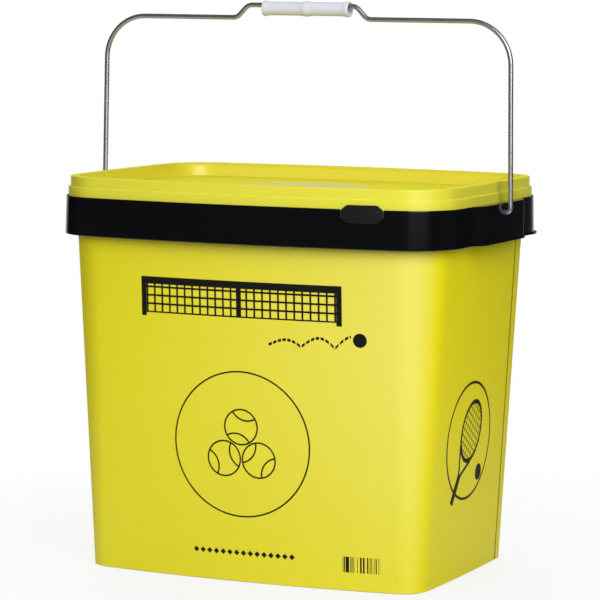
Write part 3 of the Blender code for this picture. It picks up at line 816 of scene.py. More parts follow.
@dataclass(frozen=True)
class Diamonds(Drawing):
    """A row of small diamonds."""

    pitch: float = 6.6
    half: float = 2.7
    first: float = -46.2
    height: float = 26.5
    half_row: float = 49.5

    def mask(self, graph: Graph, u: Socket, v: Socket) -> Socket:
        """Draw the row."""
        up = graph.math("ABSOLUTE", graph.math("SUBTRACT", v, self.height))
        away = graph.math("ADD", graph.from_line(u, self.first, self.pitch), up)
        row = graph.near(u, 0.0, self.half_row)
        return graph.both(graph.math("LESS_THAN", away, self.half), row)


@dataclass(frozen=True)
class Racket(Drawing):
    """A racket, whose handle runs down its own second axis."""

    centre: Point2 = (-8.0, 132.0)
    turn: float = -32.0
    squeeze: float = 0.8
    head: Circle = Circle((0.0, 0.0), 27.5, 4.0)
    string_pitch: float = 5.6
    half_string: float = 0.42
    handle: Area = ((-3.6, -72.0), (3.6, -43.0))
    throat: Point2 = (-46.0, -22.0)
    throat_slope: float = 0.62
    half_arm: float = 1.9

    def mask(self, graph: Graph, u: Socket, v: Socket) -> Socket:
        """Draw the racket."""
        across, up = graph.turned(u, v, self.centre, self.turn)
        squeezed = graph.math("DIVIDE", across, self.squeeze)
        inside = graph.disc(squeezed, up, self.head.centre, self.head.radius)
        away = [graph.from_line(value, 0.0, self.string_pitch) for value in (across, up)]
        strings = graph.total(*(graph.math("LESS_THAN", row, self.half_string) for row in away))
        rise = graph.math("SUBTRACT", up, self.throat[0])
        spread = graph.math("MULTIPLY", rise, self.throat_slope)
        arms = graph.near(graph.math("ABSOLUTE", across), spread, self.half_arm)
        return graph.total(
            self.head.mask(graph, squeezed, up),
            graph.both(strings, inside),
            graph.box(across, up, *self.handle),
            graph.both(arms, graph.between(up, *self.throat)),
        )


# Finishes


class Surface:
    """A new material with a Principled shader, while it is being dressed."""

    def __init__(self, name: str) -> None:
        """Make the material."""
        self.material = bpy.data.materials.new(name)
        self.material.use_nodes = True
        self.graph = Graph(self.material.node_tree)
        self.shader = self.material.node_tree.nodes["Principled BSDF"]
        self.coordinates = self.graph.add("ShaderNodeTexCoord").outputs

    def set(self, name: str, value: Value) -> None:
        """Set one of the shader's inputs, or link it."""
        self.graph.feed(self.shader.inputs[name], value)


@dataclass(frozen=True, kw_only=True)
class Finish:
    """What every finish has: roughness, fine grain and slow clouds.

    Scales are in cells for each metre, and the grain's height is in millimetres.
    """

    name: str
    smooth: float
    rough: float
    grain_scale: float
    grain_height: float
    grain_strength: float = 0.5
    cloud_scale: float

    def material(self) -> bpy.types.Material:
        """Build the material."""
        surface = Surface(self.name)
        graph = surface.graph
        inputs = {
            "Vector": surface.coordinates["Object"],
            "Grain Scale": self.grain_scale,
            "Cloud Scale": self.cloud_scale,
        }
        skin = graph.add("ShaderNodeGroup", inputs, node_tree=skin_group()).outputs
        surface.set("Roughness", graph.span(skin["Smear"], self.smooth, self.rough))
        height = {"Height": skin["Grain"], "Distance": self.grain_height * MM}
        bump = graph.add("ShaderNodeBump", {**height, "Strength": self.grain_strength})
        surface.set("Normal", bump.outputs["Normal"])
        self.dress(surface, skin["Cloud"])
        return surface.material

    def dress(self, surface: Surface, cloud: Socket) -> None:
        """Set what this finish has of its own."""
        raise NotImplementedError


@dataclass(frozen=True, kw_only=True)
class MouldedPlastic(Finish):
    """Injection-moulded polypropylene with a fine grain and faint handling smears."""

    colour: Point3
    deep_colour: Point3
    grain_scale: float = 1400.0
    grain_height: float = 0.012
    cloud_scale: float = 9.0
    specular: float = 0.5
    top_specular: float = 0.5
    level_reach: Point2 = (0.85, 0.97)
    # Painted shade and warm bounce light for faces that look inwards, such as the lid's recess.
    recess_shade_colour: Point3 | None = None
    recess_shade_reach: Point2 = (-0.09, -0.03)

    def dress(self, surface: Surface, cloud: Socket) -> None:
        """Set the colour, with painted shade and warm bounce light on faces that look inwards when
        an inner colour is given, and the shine, which may differ on level faces.
        """
        graph, normal = surface.graph, surface.coordinates["Normal"]
        colour = graph.mix(cloud, self.colour, self.deep_colour)
        # Painted shade and warm bounce light on faces that look inwards.
        if self.recess_shade_colour:
            flat = graph.vector("MULTIPLY", normal, (1.0, 1.0, 0.0))["Vector"]
            outward = graph.vector("DOT_PRODUCT", flat, surface.coordinates["Object"])["Value"]
            painted_recess_shade = graph.ramp(outward, self.recess_shade_reach, (1.0, 0.0))
            colour = graph.mix(painted_recess_shade, colour, self.recess_shade_colour)
        surface.set("Base Color", colour)
        shine = self.specular
        if self.top_specular != self.specular:
            levels = (self.specular, self.top_specular)
            shine = graph.ramp(graph.axes(normal)[2], self.level_reach, levels)
        surface.set("Specular IOR Level", shine)


@dataclass(frozen=True, kw_only=True)
class PrintedFilm(Finish):
    """Yellow in-mould film with its generic black print."""

    name: str = "printed_film"
    smooth: float = 0.46
    rough: float = 0.54
    grain_scale: float = 650.0
    grain_height: float = 0.01
    grain_strength: float = 0.4
    cloud_scale: float = 6.0
    colour: Point3 = (0.77, 0.685, 0.003)
    deep_colour: Point3 = (0.75, 0.665, 0.002)
    # Painted sheen: a paler, bluer colour that grows towards the front's right edge, where the
    # lamps' highlight falls.
    painted_sheen_colour: Point3 = (0.775, 0.70, 0.088)
    painted_sheen_reach: Point2 = (-170.0, 150.0)
    painted_sheen_power: float = 1.7
    painted_sheen_levels: Point2 = (0.02, 1.0)
    front_turn: Point2 = (-0.85, -0.30)
    # Painted shade: the film darkens towards the foot.
    shaded_foot_colour: Point3 = (0.68, 0.61, 0.002)
    shaded_foot_reach: Point2 = (-60.0, 220.0)
    shaded_foot_levels: Point2 = (0.9, 0.0)
    # Painted light: the sides are lighter and more saturated towards the front.
    lit_side_colour: Point3 = (0.83, 0.72, 0.001)
    lit_side_reach: Point2 = (-110.0, 70.0)
    lit_side_levels: Point2 = (1.0, 0.1)
    side_turn: Point2 = (0.3, 0.75)
    shine_turn: Point2 = (0.6, 0.9)
    film_shine: float = 0.6
    side_shine: float = 0.34
    ink: Point3 = (0.005, 0.005, 0.004)
    ink_share: float = 0.3
    front_limit: float = -60.0
    side_limit: float = 140.0
    seam_foot: float = 79.51
    seam_slope: float = 0.00466
    seam_reach: float = 1.5
    seam_depth: float = 0.7
    front_print: tuple[Drawing, ...] = (
        Circle((-0.6, 123.8), 64.5, 1.5),
        LineBall((-17.2, 110.5), 20.0),
        LineBall((16.0, 110.5), -35.0),
        LineBall((-0.6, 139.2), 75.0),
        CourtNet(),
        BouncePath(),
        Diamonds(),
        PlainBars(),
    )
    side_print: tuple[Drawing, ...] = (
        Circle((-12.0, 124.0), 52.0, 2.4),
        Racket(),
        Spot((16.0, 92.0), 7.5),
    )

    def dress(self, surface: Surface, cloud: Socket) -> None:
        """Set the film's colour, with its slow clouds, a painted sheen towards the front's right
        edge, painted light on the sides towards the front and painted shade towards the foot, and
        print on it.
        """
        graph = surface.graph
        axes = graph.axes(surface.coordinates["Object"])
        x, y, z = (graph.math("MULTIPLY", axis, 1 / MM) for axis in axes)
        facing_x, facing_y, _ = graph.axes(surface.coordinates["Normal"])
        sideways = graph.math("ABSOLUTE", facing_x)
        film = graph.mix(cloud, self.colour, self.deep_colour)
        # Painted light on the side faces, lighter towards the front.
        lit_side_share = graph.ramp(y, self.lit_side_reach, self.lit_side_levels, Easing.LINEAR)
        lit_side_share = graph.both(lit_side_share, graph.ramp(sideways, self.side_turn, (0.0, 1.0)))
        film = graph.mix(lit_side_share, film, self.lit_side_colour)
        # Painted sheen: paler and bluer towards the front's right edge.
        film = graph.mix(self.painted_sheen_mask(graph, x, facing_y), film, self.painted_sheen_colour)
        # Painted shade: darker towards the foot.
        foot = graph.ramp(z, self.shaded_foot_reach, self.shaded_foot_levels)
        film = graph.mix(foot, film, self.shaded_foot_colour)
        printed = self.printed(graph, x, y, z)
        surface.set("Base Color", graph.mix(printed, film, self.ink))
        shine = graph.ramp(sideways, self.shine_turn, (self.film_shine, self.side_shine))
        shine = graph.both(shine, graph.span(printed, 1.0, self.ink_share))
        surface.set("Specular IOR Level", shine)

    def painted_sheen_mask(self, graph: Graph, x: Socket, facing: Socket) -> Socket:
        """Mask of the painted sheen on the front, which grows towards its right edge."""
        along = graph.ramp(x, self.painted_sheen_reach, (0.0, 1.0), Easing.LINEAR)
        share = graph.span(graph.math("POWER", along, self.painted_sheen_power), *self.painted_sheen_levels)
        return graph.both(share, graph.ramp(facing, self.front_turn, (1.0, 0.0)))

    def printed(self, graph: Graph, x: Socket, y: Socket, z: Socket) -> Socket:
        """Mask of all the print, and of the seam's dark edges."""
        front = graph.total(*(drawing.mask(graph, x, z) for drawing in self.front_print))
        drawings = (drawing.mask(graph, y, z) for drawing in self.side_print)
        side = graph.total(*drawings, self.seam(graph, y, z))
        front = graph.both(front, graph.math("LESS_THAN", y, self.front_limit))
        return graph.total(front, graph.both(side, graph.math("GREATER_THAN", x, self.side_limit)))

    def seam(self, graph: Graph, y: Socket, z: Socket) -> Socket:
        """Mask of the thin edges beside the seam, which the black wall shows through."""
        spot = graph.math("SUBTRACT", self.seam_foot, graph.math("MULTIPLY", z, self.seam_slope))
        return graph.math("MULTIPLY", graph.near(y, spot, self.seam_reach), self.seam_depth)


@dataclass(frozen=True, kw_only=True)
class GalvanisedWire(Finish):
    """Bright zinc-coated steel, with faint crystals and drawing lines."""

    name: str = "galvanised_wire"
    smooth: float = 0.35
    rough: float = 0.45
    grain_scale: float = 900.0
    grain_height: float = 0.03
    cloud_scale: float = 45.0
    colour: Point3 = (0.40, 0.42, 0.475)
    pale: Point3 = (0.54, 0.56, 0.625)
    crystal_scale: float = 420.0

    def dress(self, surface: Surface, cloud: Socket) -> None:
        """Set the metal's colour, which changes from crystal to crystal."""
        graph = surface.graph
        inputs = {"Vector": surface.coordinates["Object"], "Scale": self.crystal_scale}
        crystals = graph.add("ShaderNodeTexVoronoi", inputs).outputs["Color"]
        tone = graph.math("MULTIPLY", crystals, cloud)
        surface.set("Base Color", graph.mix(tone, self.colour, self.pale))
        surface.set("Metallic", 1.0)


BLACK_PLASTIC = MouldedPlastic(
    name="black_moulding",
    colour=(0.0021, 0.0023, 0.0030),
    deep_colour=(0.0028, 0.0030, 0.0038),
    smooth=0.10,
    rough=0.18,
    grain_height=0.003,
)
TAB_PLASTIC = MouldedPlastic(
    name="tab_moulding",
    colour=(0.0070, 0.0073, 0.0090),
    deep_colour=(0.0085, 0.0088, 0.0105),
    smooth=0.42,
    rough=0.52,
    grain_height=0.02,
    specular=0.15,
)
YELLOW_PLASTIC = MouldedPlastic(
    name="yellow_moulding",
    colour=(0.75, 0.705, 0.048),
    deep_colour=(0.73, 0.685, 0.044),
    # Painted shade and warm bounce light on the lid's inward faces.
    recess_shade_colour=(0.69, 0.605, 0.024),
    smooth=0.34,
    rough=0.42,
    grain_height=0.006,
    specular=0.6,
    top_specular=0.0,
)
PALE_FILM = MouldedPlastic(
    name="pale_film",
    colour=(0.69, 0.625, 0.295),
    deep_colour=(0.67, 0.605, 0.28),
    smooth=0.46,
    rough=0.54,
    top_specular=0.0,
)
WHITE_PLASTIC = MouldedPlastic(
    name="white_moulding",
    colour=(0.71, 0.72, 0.79),
    deep_colour=(0.69, 0.70, 0.77),
    smooth=0.28,
    rough=0.42,
)


# Pieces


@dataclass
class Ears:
    """The two boxes that bulge out of the skirt, where the bail hooks in."""

    face: float = 196.0
    root: float = SKIRT.half_width - 0.9 - SKIRT.side_bow
    half_length: float = 48.0
    ramp: float = 9.8
    wall: float = 1.6
    roof: float = 1.8
    corner: float = 3.0
    corner_steps: int = 6
    top_edge: float = 0.5
    cut_start: float = 299.1
    pocket_root: float = 189.0
    mouth: Point2 = (186.9, 190.6)
    lip_reach: float = 1.2
    lip_heights: Point2 = (301.2, 302.5)
    rear_lip_start: float = 0.1
    rear_lip_reach: float = 2.6
    rear_lip_heights: Point2 = (301.15, 302.4)
    hole_radius: float = 4.5
    hole_height: float = 328.7
    hole_depth: float = 5.0
    hole_sides: int = 40

    def corners(self, offset: float, inner: float) -> list[Point2]:
        """Four corners of the ear's plan.

        Args:
            offset: How far the plan is moved outwards.
            inner: X of the plan's inner side.

        Returns:
            The corners as X and Y.
        """
        slope = math.atan2(self.face - SKIRT.side_x(self.half_length), self.ramp)
        half = self.half_length + offset * math.tan(slope / 2)
        back = half + (self.face + offset - inner) / math.tan(slope)
        face = self.face + offset
        return [(inner, -back), (face, -half), (face, half), (inner, back)]

    def plan(self, offset: float, inner: float) -> list[Point2]:
        """The ear's plan with its two outer corners rounded."""
        low, first, second, high = self.corners(offset, inner)
        radius = self.corner + offset
        turns = profile(low, (*first, radius), (*second, radius), high)
        return rounded_path(turns, self.corner_steps)

    def rear_lip_plan(self, corner: int = 16, side: int = 6, front: int = 8) -> list[Point2]:
        """Plan of the narrow lip round the skirt's rear corner, which fades out at both ends.

        Args:
            corner: Steps in each corner.
            side: Steps along each side.
            front: Steps along the front, and along the back.

        Returns:
            The plan as X and Y.
        """
        first, last = side // 2 - 1, side // 2 + corner + 1
        insets = (FENCE_DRAFT, -self.rear_lip_start, -self.rear_lip_reach)
        inner, skirt, outer = (SKIRT.inset(d).points(corner, front, side) for d in insets)
        edge = [skirt[first], *outer[first + 1 : last], skirt[last]]
        return edge + list(reversed(inner[first : last + 1]))

    def pair(self, name: str, plan: Sequence[Point2], low: float, high: float) -> bpy.types.Object:
        """Two prisms, one at each side."""
        other = [(-x, y) for x, y in reversed(plan)]
        return joined(name, [prism(name, plan, low, high), prism(name, other, low, high)])

    def boxes(self) -> bpy.types.Object:
        """The ears themselves, still solid."""
        block = self.pair("ears", self.plan(0.0, self.root), SKIRT_FOOT, FENCE_TOP)
        edit_bevel(block, self.top_edge, self.is_outer_top)
        return block

    def is_outer_top(self, edge: bmesh.types.BMEdge) -> bool:
        """Tell whether an edge runs along the top of an ear, away from the fence."""
        at_top = all(abs(vert.co.z - FENCE_TOP * MM) < SAME_PLACE for vert in edge.verts)
        return at_top and any(abs(vert.co.x) > self.root * MM + SAME_PLACE for vert in edge.verts)

    def lips(self) -> list[bpy.types.Object]:
        """The lips under the ears, and those round the skirt's rear corners."""
        return [
            self.pair("lips", self.plan(self.lip_reach, self.root), *self.lip_heights),
            self.pair("rear_lips", self.rear_lip_plan(), *self.rear_lip_heights),
        ]

    def hollows(self) -> list[bpy.types.Object]:
        """Cutters that hollow the ears and open them towards the wall."""
        half = self.half_length - self.wall
        mouth = rectangle((self.mouth[0], -half), (self.mouth[1], half))
        pocket = self.plan(-self.wall, self.pocket_root)
        return [
            self.pair("pockets", pocket, self.cut_start, FENCE_TOP - self.roof),
            self.pair("mouths", mouth, self.cut_start, WEB_UNDERSIDE),
        ]

    def holes(self) -> bpy.types.Object:
        """Cutters for the hooks' holes."""
        made = []
        for side in (-1, 1):
            deselect()
            bpy.ops.mesh.primitive_cylinder_add(
                vertices=self.hole_sides,
                radius=self.hole_radius * MM,
                depth=self.hole_depth * MM,
                location=metres((side * (self.face - self.wall / 2), 0, self.hole_height)),
                rotation=(0, math.radians(90), 0),
            )
            made.append(bpy.context.object)
        return joined("hook_holes", made)


@dataclass
class Pail:
    """The black moulded pail: wall, floor, rim, channel, fence, skirt and ears."""

    ears: Ears = field(default_factory=Ears)
    wall_outside: tuple[Turn, ...] = profile(
        (13.4, 3.0),
        (12.0, 0.0, 0.8),
        (0.7, 0.0, 1.9),
        (0.7, 302.8, 0.2),
        (0.0, 303.5, 0.2),
        (0.0, WEB_UNDERSIDE),
    )
    skirt_and_rim: tuple[Turn, ...] = profile(
        (1.8, WEB_UNDERSIDE),
        (1.8, SKIRT_FOOT, 0.7),
        (0.0, SKIRT_FOOT, 0.7),
        (FENCE_DRAFT, FENCE_TOP, 0.45),
        (2.35, FENCE_TOP, 0.45),
        (2.35, 327.0, 0.5),
        (8.2, 327.0, 0.5),
        (8.2, 342.0, 0.4),
        (6.9, 343.6, 0.4),
        (6.9, 350.6, 1.3),
        (10.4, 350.6, 0.9),
        (10.6, 330.5),
    )
    wall_inside: tuple[Turn, ...] = profile((2.6, 326.0), (2.6, 5.4, 4.0), (16.0, 5.4))
    inside_steps: int = 6
    rib_half: float = 0.65
    rib_heights: Point2 = (311.6, 325.8)
    rib_root: float = 1.1
    rib_in_ear: float = 0.8
    front_ribs: tuple[float, ...] = (-110.0, -66.0, -22.0, 22.0, 66.0, 110.0)
    side_ribs: tuple[float, ...] = (-74.0, -16.0, 16.0, 74.0)

    def rings(self) -> list[list[Point3]]:
        """Every ring from under the floor, up the outside and down the inside."""
        outside = rings_of(Family.WALL, self.wall_outside)
        moulded = rings_of(Family.SKIRT, self.skirt_and_rim)
        return outside + moulded + rings_of(Family.WALL, self.wall_inside, self.inside_steps)

    def ribs(self) -> bpy.types.Object:
        """Ribs between the wall and the skirt."""
        wall = Family.WALL.outline(self.rib_heights[0]).inset(self.rib_root)
        skirt = SKIRT.inset(FENCE_DRAFT)
        half = self.rib_half
        made = []
        for x in self.front_ribs:
            plan = rectangle((x - half, skirt.front_y(x)), (x + half, wall.front_y(x)))
            behind = [(px, -py) for px, py in reversed(plan)]
            made += [prism("rib", outline, *self.rib_heights) for outline in (plan, behind)]
        for y in self.side_ribs:
            in_ear = abs(y) < self.ears.half_length
            outer = self.ears.face - self.rib_in_ear if in_ear else skirt.side_x(y)
            plan = rectangle((wall.side_x(y), y - half), (outer, y + half))
            made.append(self.ears.pair("rib", plan, *self.rib_heights))
        return joined("skirt_ribs", made)

    def build(self, tab: "TamperTab") -> None:
        """Model the pail, with an opening in its fence for this tab."""
        pail = extrude_rings("pail_shell", self.rings())
        for addition in (self.ears.boxes(), *self.ears.lips()):
            combine(pail, addition, Boolean.JOIN)
        for cutter in self.ears.hollows():
            combine(pail, cutter, Boolean.CUT)
        combine(pail, self.ribs(), Boolean.JOIN)
        combine(pail, joined("openings", [self.ears.holes(), tab.opening()]), Boolean.CUT)
        finish_piece(pail, "bucket", "bucket_shell", BLACK_PLASTIC.material())


@dataclass
class WrapFilm:
    """The yellow film round the pail's wall."""

    thickness: float = 0.4
    foot: float = 0.8
    top: float = 302.5
    heights: tuple[float, ...] = (1.9, 20, 60, 100, 140, 180, 220, 260, 290, 302.8)
    seam_share: float = 0.915
    seam_width: float = 1.1
    seam_slack: float = 1.05
    seam_side: float = 150.0
    sideways: float = 0.9

    def ring(self, height: float, shown_height: float) -> list[Point3]:
        """One ring of the sheet, with a point at each side of the seam.

        Args:
            height: Height that gives the outline.
            shown_height: Height that the ring gets.

        Returns:
            The points, from one side of the seam round to the other.
        """
        outline = Family.WALL.outline(height)
        points = outline.points()
        seam, width = self.seam_share * outline.corner_centre[1], self.seam_width
        after = next(i for i, (x, y) in enumerate(points) if x > 0 and y > seam + width)
        ends = [(outline.side_x(y), y) for y in (seam + width / 2, seam - width / 2)]
        kept = [point for point in points[:after] if point[1] < seam - width]
        return [(x, y, shown_height) for x, y in (ends[0], *points[after:], *kept, ends[1])]

    def build(self) -> None:
        """Model the film as an open sheet with a thickness."""
        shown = (self.foot, *self.heights[1:-1], self.top)
        rings = [self.ring(height, spot) for height, spot in zip(self.heights, shown)]
        film = extrude_rings("wrap_film", rings, capped=False)
        self.open_seam(film)
        thickness = self.thickness * MM
        modify(film, "SOLIDIFY", thickness=thickness, offset=-1.0, use_even_offset=True)
        finish_piece(film, "bucket", "wrap_label", PrintedFilm().material())

    def open_seam(self, film: bpy.types.Object) -> None:
        """Delete the strip that would close the seam, and point the sheet outwards."""
        with editing(film, "FACE"):
            bpy.ops.mesh.select_all(action="DESELECT")
            mesh = bmesh.from_edit_mesh(film.data)
            for face in mesh.faces:
                face.select_set(self.is_seam(face))
            bmesh.update_edit_mesh(film.data)
            bpy.ops.mesh.delete(type="FACE")
            mesh = bmesh.from_edit_mesh(film.data)
            outward = sum(face.normal.xy.dot(face.calc_center_median().xy) for face in mesh.faces)
            bpy.ops.mesh.select_all(action="SELECT")
            if outward < 0:
                bpy.ops.mesh.flip_normals()

    def is_seam(self, face: bmesh.types.BMFace) -> bool:
        """Tell whether a face is as narrow as the seam and looks to the side."""
        limit = self.seam_slack * self.seam_width * MM
        narrow = all(abs(edge.verts[0].co.y - edge.verts[1].co.y) < limit for edge in face.edges)
        at_side = face.calc_center_median().x > self.seam_side * MM
        return narrow and at_side and abs(face.normal.x) > self.sideways


@dataclass
class Lid:
    """The yellow lid with its recessed panel, and the round film on it."""

    panel: float = 340.6
    top: float = 353.0
    shell: tuple[Turn, ...] = profile(
        (22.0, panel),
        (16.9, panel, 1.1),
        (15.4, top - 2.4, 0.7),
        (13.0, top, 0.9),
        (4.85, top, 1.1),
        (4.79, 343.7, 0.5),
        (2.74, 343.5, 0.7),
        (2.70, 328.4, 0.45),
        (4.3, 328.4, 0.45),
        (4.3, 338.0, 0.8),
        (6.6, 340.0, 0.8),
        (6.6, 350.9, 0.6),
        (10.85, 350.9, 0.3),
        (10.85, 345.9, 0.5),
        (11.95, 345.9, 0.5),
        (12.0, 349.7, 0.5),
        (13.8, 348.9, 0.6),
        (15.3, 338.8, 1.1),
        (22.0, 338.8),
    )
    shell_steps: int = 5
    film_radius: float = 67.0
    film_place: Point2 = (-7.0, 4.0)
    film_thickness: float = 0.3
    film_gap: float = 0.3
    film_edge: float = 1.2
    film_sides: int = 128

    def build(self) -> None:
        """Model the lid and its film."""
        shell = extrude_rings("lid_shell", rings_of(Family.SKIRT, self.shell, self.shell_steps))
        finish_piece(shell, "lid", "snap_lid", YELLOW_PLASTIC.material())
        self.film()

    def film(self) -> None:
        """Model the round film."""
        deselect()
        bpy.ops.mesh.primitive_circle_add(
            vertices=self.film_sides, radius=self.film_radius * MM, fill_type="NGON"
        )
        film = bpy.context.object
        film.name = "lid_film"
        foot = metres((*self.film_place, self.panel + self.film_gap))
        place(film, Matrix.Translation(foot))
        rise = {"value": (0, 0, self.film_thickness * MM)}
        with editing(film):
            bpy.ops.mesh.select_all(action="SELECT")
            bpy.ops.mesh.extrude_region_move(TRANSFORM_OT_translate=rise)
            bpy.ops.mesh.inset(thickness=self.film_edge * MM)
            face_outwards()
        finish_piece(film, "lid", "lid_label", PALE_FILM.material())


@dataclass
class TamperTab:
    """The eight-sided tab in the fence's front."""

    place_x: float = 117.31
    foot: float = 323.5
    height: float = 15.7
    half_width: float = 18.7
    chamfer: Point2 = (5.3, 4.3)
    thickness: float = 1.3
    slit: float = 0.6
    hinge_half: float = 9.8
    hinge_gap: float = 0.3
    cut: Point2 = (-2.2, 3.0)
    corner_round: float = 0.9
    face_round: float = 0.22

    def frame(self) -> Matrix:
        """Place of the hinge line: local X along it, Y up the tab, Z outwards."""
        rise = FENCE_TOP - SKIRT_FOOT
        outline = SKIRT.inset(FENCE_DRAFT * (self.foot - SKIRT_FOOT) / rise)
        spot = metres((self.place_x, outline.front_y(self.place_x), self.foot))
        turn = Matrix.Rotation(math.asin(self.place_x / SKIRT.front_radius), 4, "Z")
        stand = Matrix.Rotation(math.radians(90) - math.atan2(FENCE_DRAFT, rise), 4, "X")
        return Matrix.Translation(spot) @ turn @ stand

    def outline(self, grow: float) -> list[Point2]:
        """The eight corners, or those of the opening when it grows."""
        half, top, foot = self.half_width + grow, self.height + grow, -grow
        x = half - self.chamfer[0]
        low, high = foot + self.chamfer[1], top - self.chamfer[1]
        right = [(x, foot), (half, low), (half, high), (x, top)]
        left = [(-across, up) for across, up in reversed(right)]
        return [left[-1], *right, *left[:-1]]

    def opening(self) -> bpy.types.Object:
        """Cutter for the opening that the tab stands in."""
        corners = self.outline(self.slit)
        left, right = -self.hinge_half, self.hinge_half
        step = [(left, -self.slit), (left, -self.hinge_gap)]
        step += [(right, -self.hinge_gap), (right, -self.slit)]
        cutter = prism("tab_opening", [corners[0], *step, *corners[1:]], *self.cut)
        place(cutter, self.frame())
        return cutter

    def build(self) -> None:
        """Model the tab with rounded edges."""
        plate = prism("tab_plate", self.outline(0.0), -self.thickness, 0.0)
        edit_bevel(plate, self.corner_round, self.is_upright)
        edit_bevel(plate, self.face_round, self.is_on_face, segments=2)
        place(plate, self.frame())
        finish_piece(plate, "tab", "tamper_tab", TAB_PLASTIC.material())

    def is_upright(self, edge: bmesh.types.BMEdge) -> bool:
        """Tell whether an edge runs through the plate."""
        return abs(edge.verts[0].co.z - edge.verts[1].co.z) > SAME_PLACE

    def is_on_face(self, edge: bmesh.types.BMEdge) -> bool:
        """Tell whether an edge runs round the plate's outer face."""
        return all(abs(vert.co.z) < SAME_PLACE for vert in edge.verts)


@dataclass
class Bail:
    """The wire handle and the grip that hangs on it."""

    wire_radius: float = 2.2
    wire_smoothness: int = 6
    wire_edge: float = 0.35
    hook_height: float = 327.2
    hook_centre: float = 196.15
    hook_radius: float = 4.25
    tip_rise: float = 5.2
    leg_top: float = 198.6
    shoulder: float = 39.0
    bend_steps: int = 20
    run_height: float = 494.2
    crank_rise: float = 11.5
    crank_half: float = 58.5
    crank_centre: float = -2.0
    crank_radius: float = 9.0
    crank_angle: float = math.radians(46)
    crank_steps: int = 8
    grip_length: float = 84.5
    grip_centre: float = 3.0
    grip_radius: float = 6.25
    grip_end_radius: float = 7.05
    grip_edge: float = 0.8
    grip_edge_cut: float = 0.23
    grip_collar: float = 1.2
    grip_flare: float = 4.8
    grip_bulge_radius: float = 7.0
    grip_bulge_half: float = 6.5
    grip_steps: int = 8
    grip_sides: int = 48
    grip_drop: float = 2.85
    bore: float = 5.25
    bore_flare: tuple[Point2, ...] = ((0.0, 0.9), (0.25, 0.3), (0.9, 0.0))
    smooth_angles: Point2 = (50.0, 45.0)

    def crank(self, side: int) -> list[Point2]:
        """The bends from the run up to the raised seat."""
        angle, radius = self.crank_angle, self.crank_radius
        straight = (self.crank_rise - 2 * radius * (1 - math.cos(angle))) / math.sin(angle)
        length = 2 * radius * math.sin(angle) + straight * math.cos(angle)
        start = self.crank_half + length / 2
        turns = [angle * step / self.crank_steps for step in range(self.crank_steps + 1)]
        bend = [(radius * math.sin(turn), radius * (1 - math.cos(turn))) for turn in turns]
        low = [(start - x, z) for x, z in bend]
        high = [(start - length + x, self.crank_rise - z) for x, z in reversed(bend)]
        return [(self.crank_centre + side * x, self.run_height + z) for x, z in low + high]

    def half(self, side: int) -> list[Point2]:
        """Centreline from one hook's tip to the raised seat."""
        top = self.hook_height + self.hook_radius
        inner, outer = self.hook_centre - self.hook_radius, self.hook_centre + self.hook_radius
        hook = arc((self.hook_centre, top), self.hook_radius, math.pi, 2 * math.pi, self.bend_steps)
        corner = (self.leg_top - self.shoulder, self.run_height - self.shoulder)
        leg = [(outer, top), ((outer + self.leg_top) / 2, (top + corner[1]) / 2)]
        bend = arc(corner, self.shoulder, 0, math.pi / 2, self.bend_steps)
        tip = (inner, self.hook_height + self.tip_rise)
        points = [tip, *hook, *leg, *bend, (corner[0], self.run_height)]
        return [(side * x, z) for x, z in points] + self.crank(side)

    def wire(self) -> None:
        """Model the wire as a bevelled curve, made a mesh."""
        route = self.half(-1) + list(reversed(self.half(1)))
        deselect()
        bpy.ops.curve.primitive_nurbs_path_add()
        wire = bpy.context.object
        wire.name = "bail_rod"
        curve = wire.data
        curve.splines.clear()
        spline = curve.splines.new("POLY")
        spline.points.add(len(route) - 1)
        for point, (x, z) in zip(spline.points, route):
            point.co = (x * MM, 0.0, z * MM, 1.0)
        curve.dimensions = "3D"
        curve.bevel_depth = self.wire_radius * MM
        curve.bevel_resolution = self.wire_smoothness
        curve.use_fill_caps = True
        only(wire)
        bpy.ops.object.convert(target="MESH")
        merge_doubles(wire)
        edit_bevel(wire, self.wire_edge, self.is_cut_end, segments=2)
        material = GalvanisedWire().material()
        angle = self.smooth_angles[0]
        finish_piece(wire, "bail", "bail_wire", material, angle)

    def is_cut_end(self, edge: bmesh.types.BMEdge) -> bool:
        """Tell whether an edge runs round a cut end of the wire."""
        return any(len(face.verts) > self.wire_smoothness for face in edge.link_faces)

    def swelling(self, height: float) -> list[Point2]:
        """Shares along a slow step in the grip's radius, and the radius at each of them.

        Args:
            height: How far the radius rises above the grip's own at the share nought.

        Returns:
            Shares from nought to one, each with its radius.
        """
        shares = [step / self.grip_steps for step in range(self.grip_steps + 1)]
        rises = [height * (0.5 + 0.5 * math.cos(math.pi * share)) for share in shares]
        return [(share, self.grip_radius + rise) for share, rise in zip(shares, rises)]

    def grip_profile(self) -> list[Point2]:
        """Closed profile of the grip as place along it and radius."""
        half, edge, cut, thick = (
            self.grip_length / 2,
            self.grip_edge,
            self.grip_edge_cut,
            self.grip_end_radius,
        )
        end = [(half, self.bore + self.bore_flare[0][1]), (half, thick - edge)]
        end += [(half - cut, thick - cut), (half - edge, thick)]
        collar = half - edge - self.grip_collar
        flare = self.swelling(thick - self.grip_radius)
        bulge = self.swelling(self.grip_bulge_radius - self.grip_radius)
        side = [(collar - self.grip_flare * share, radius) for share, radius in flare]
        middle = [(self.grip_bulge_half * share, radius) for share, radius in reversed(bulge)]
        right = end + side + middle
        left = [(-x, radius) for x, radius in reversed(right[:-1])]
        bore = [(half - back, self.bore + flare) for back, flare in reversed(self.bore_flare[1:])]
        return right + left + [(-x, radius) for x, radius in reversed(bore)] + bore

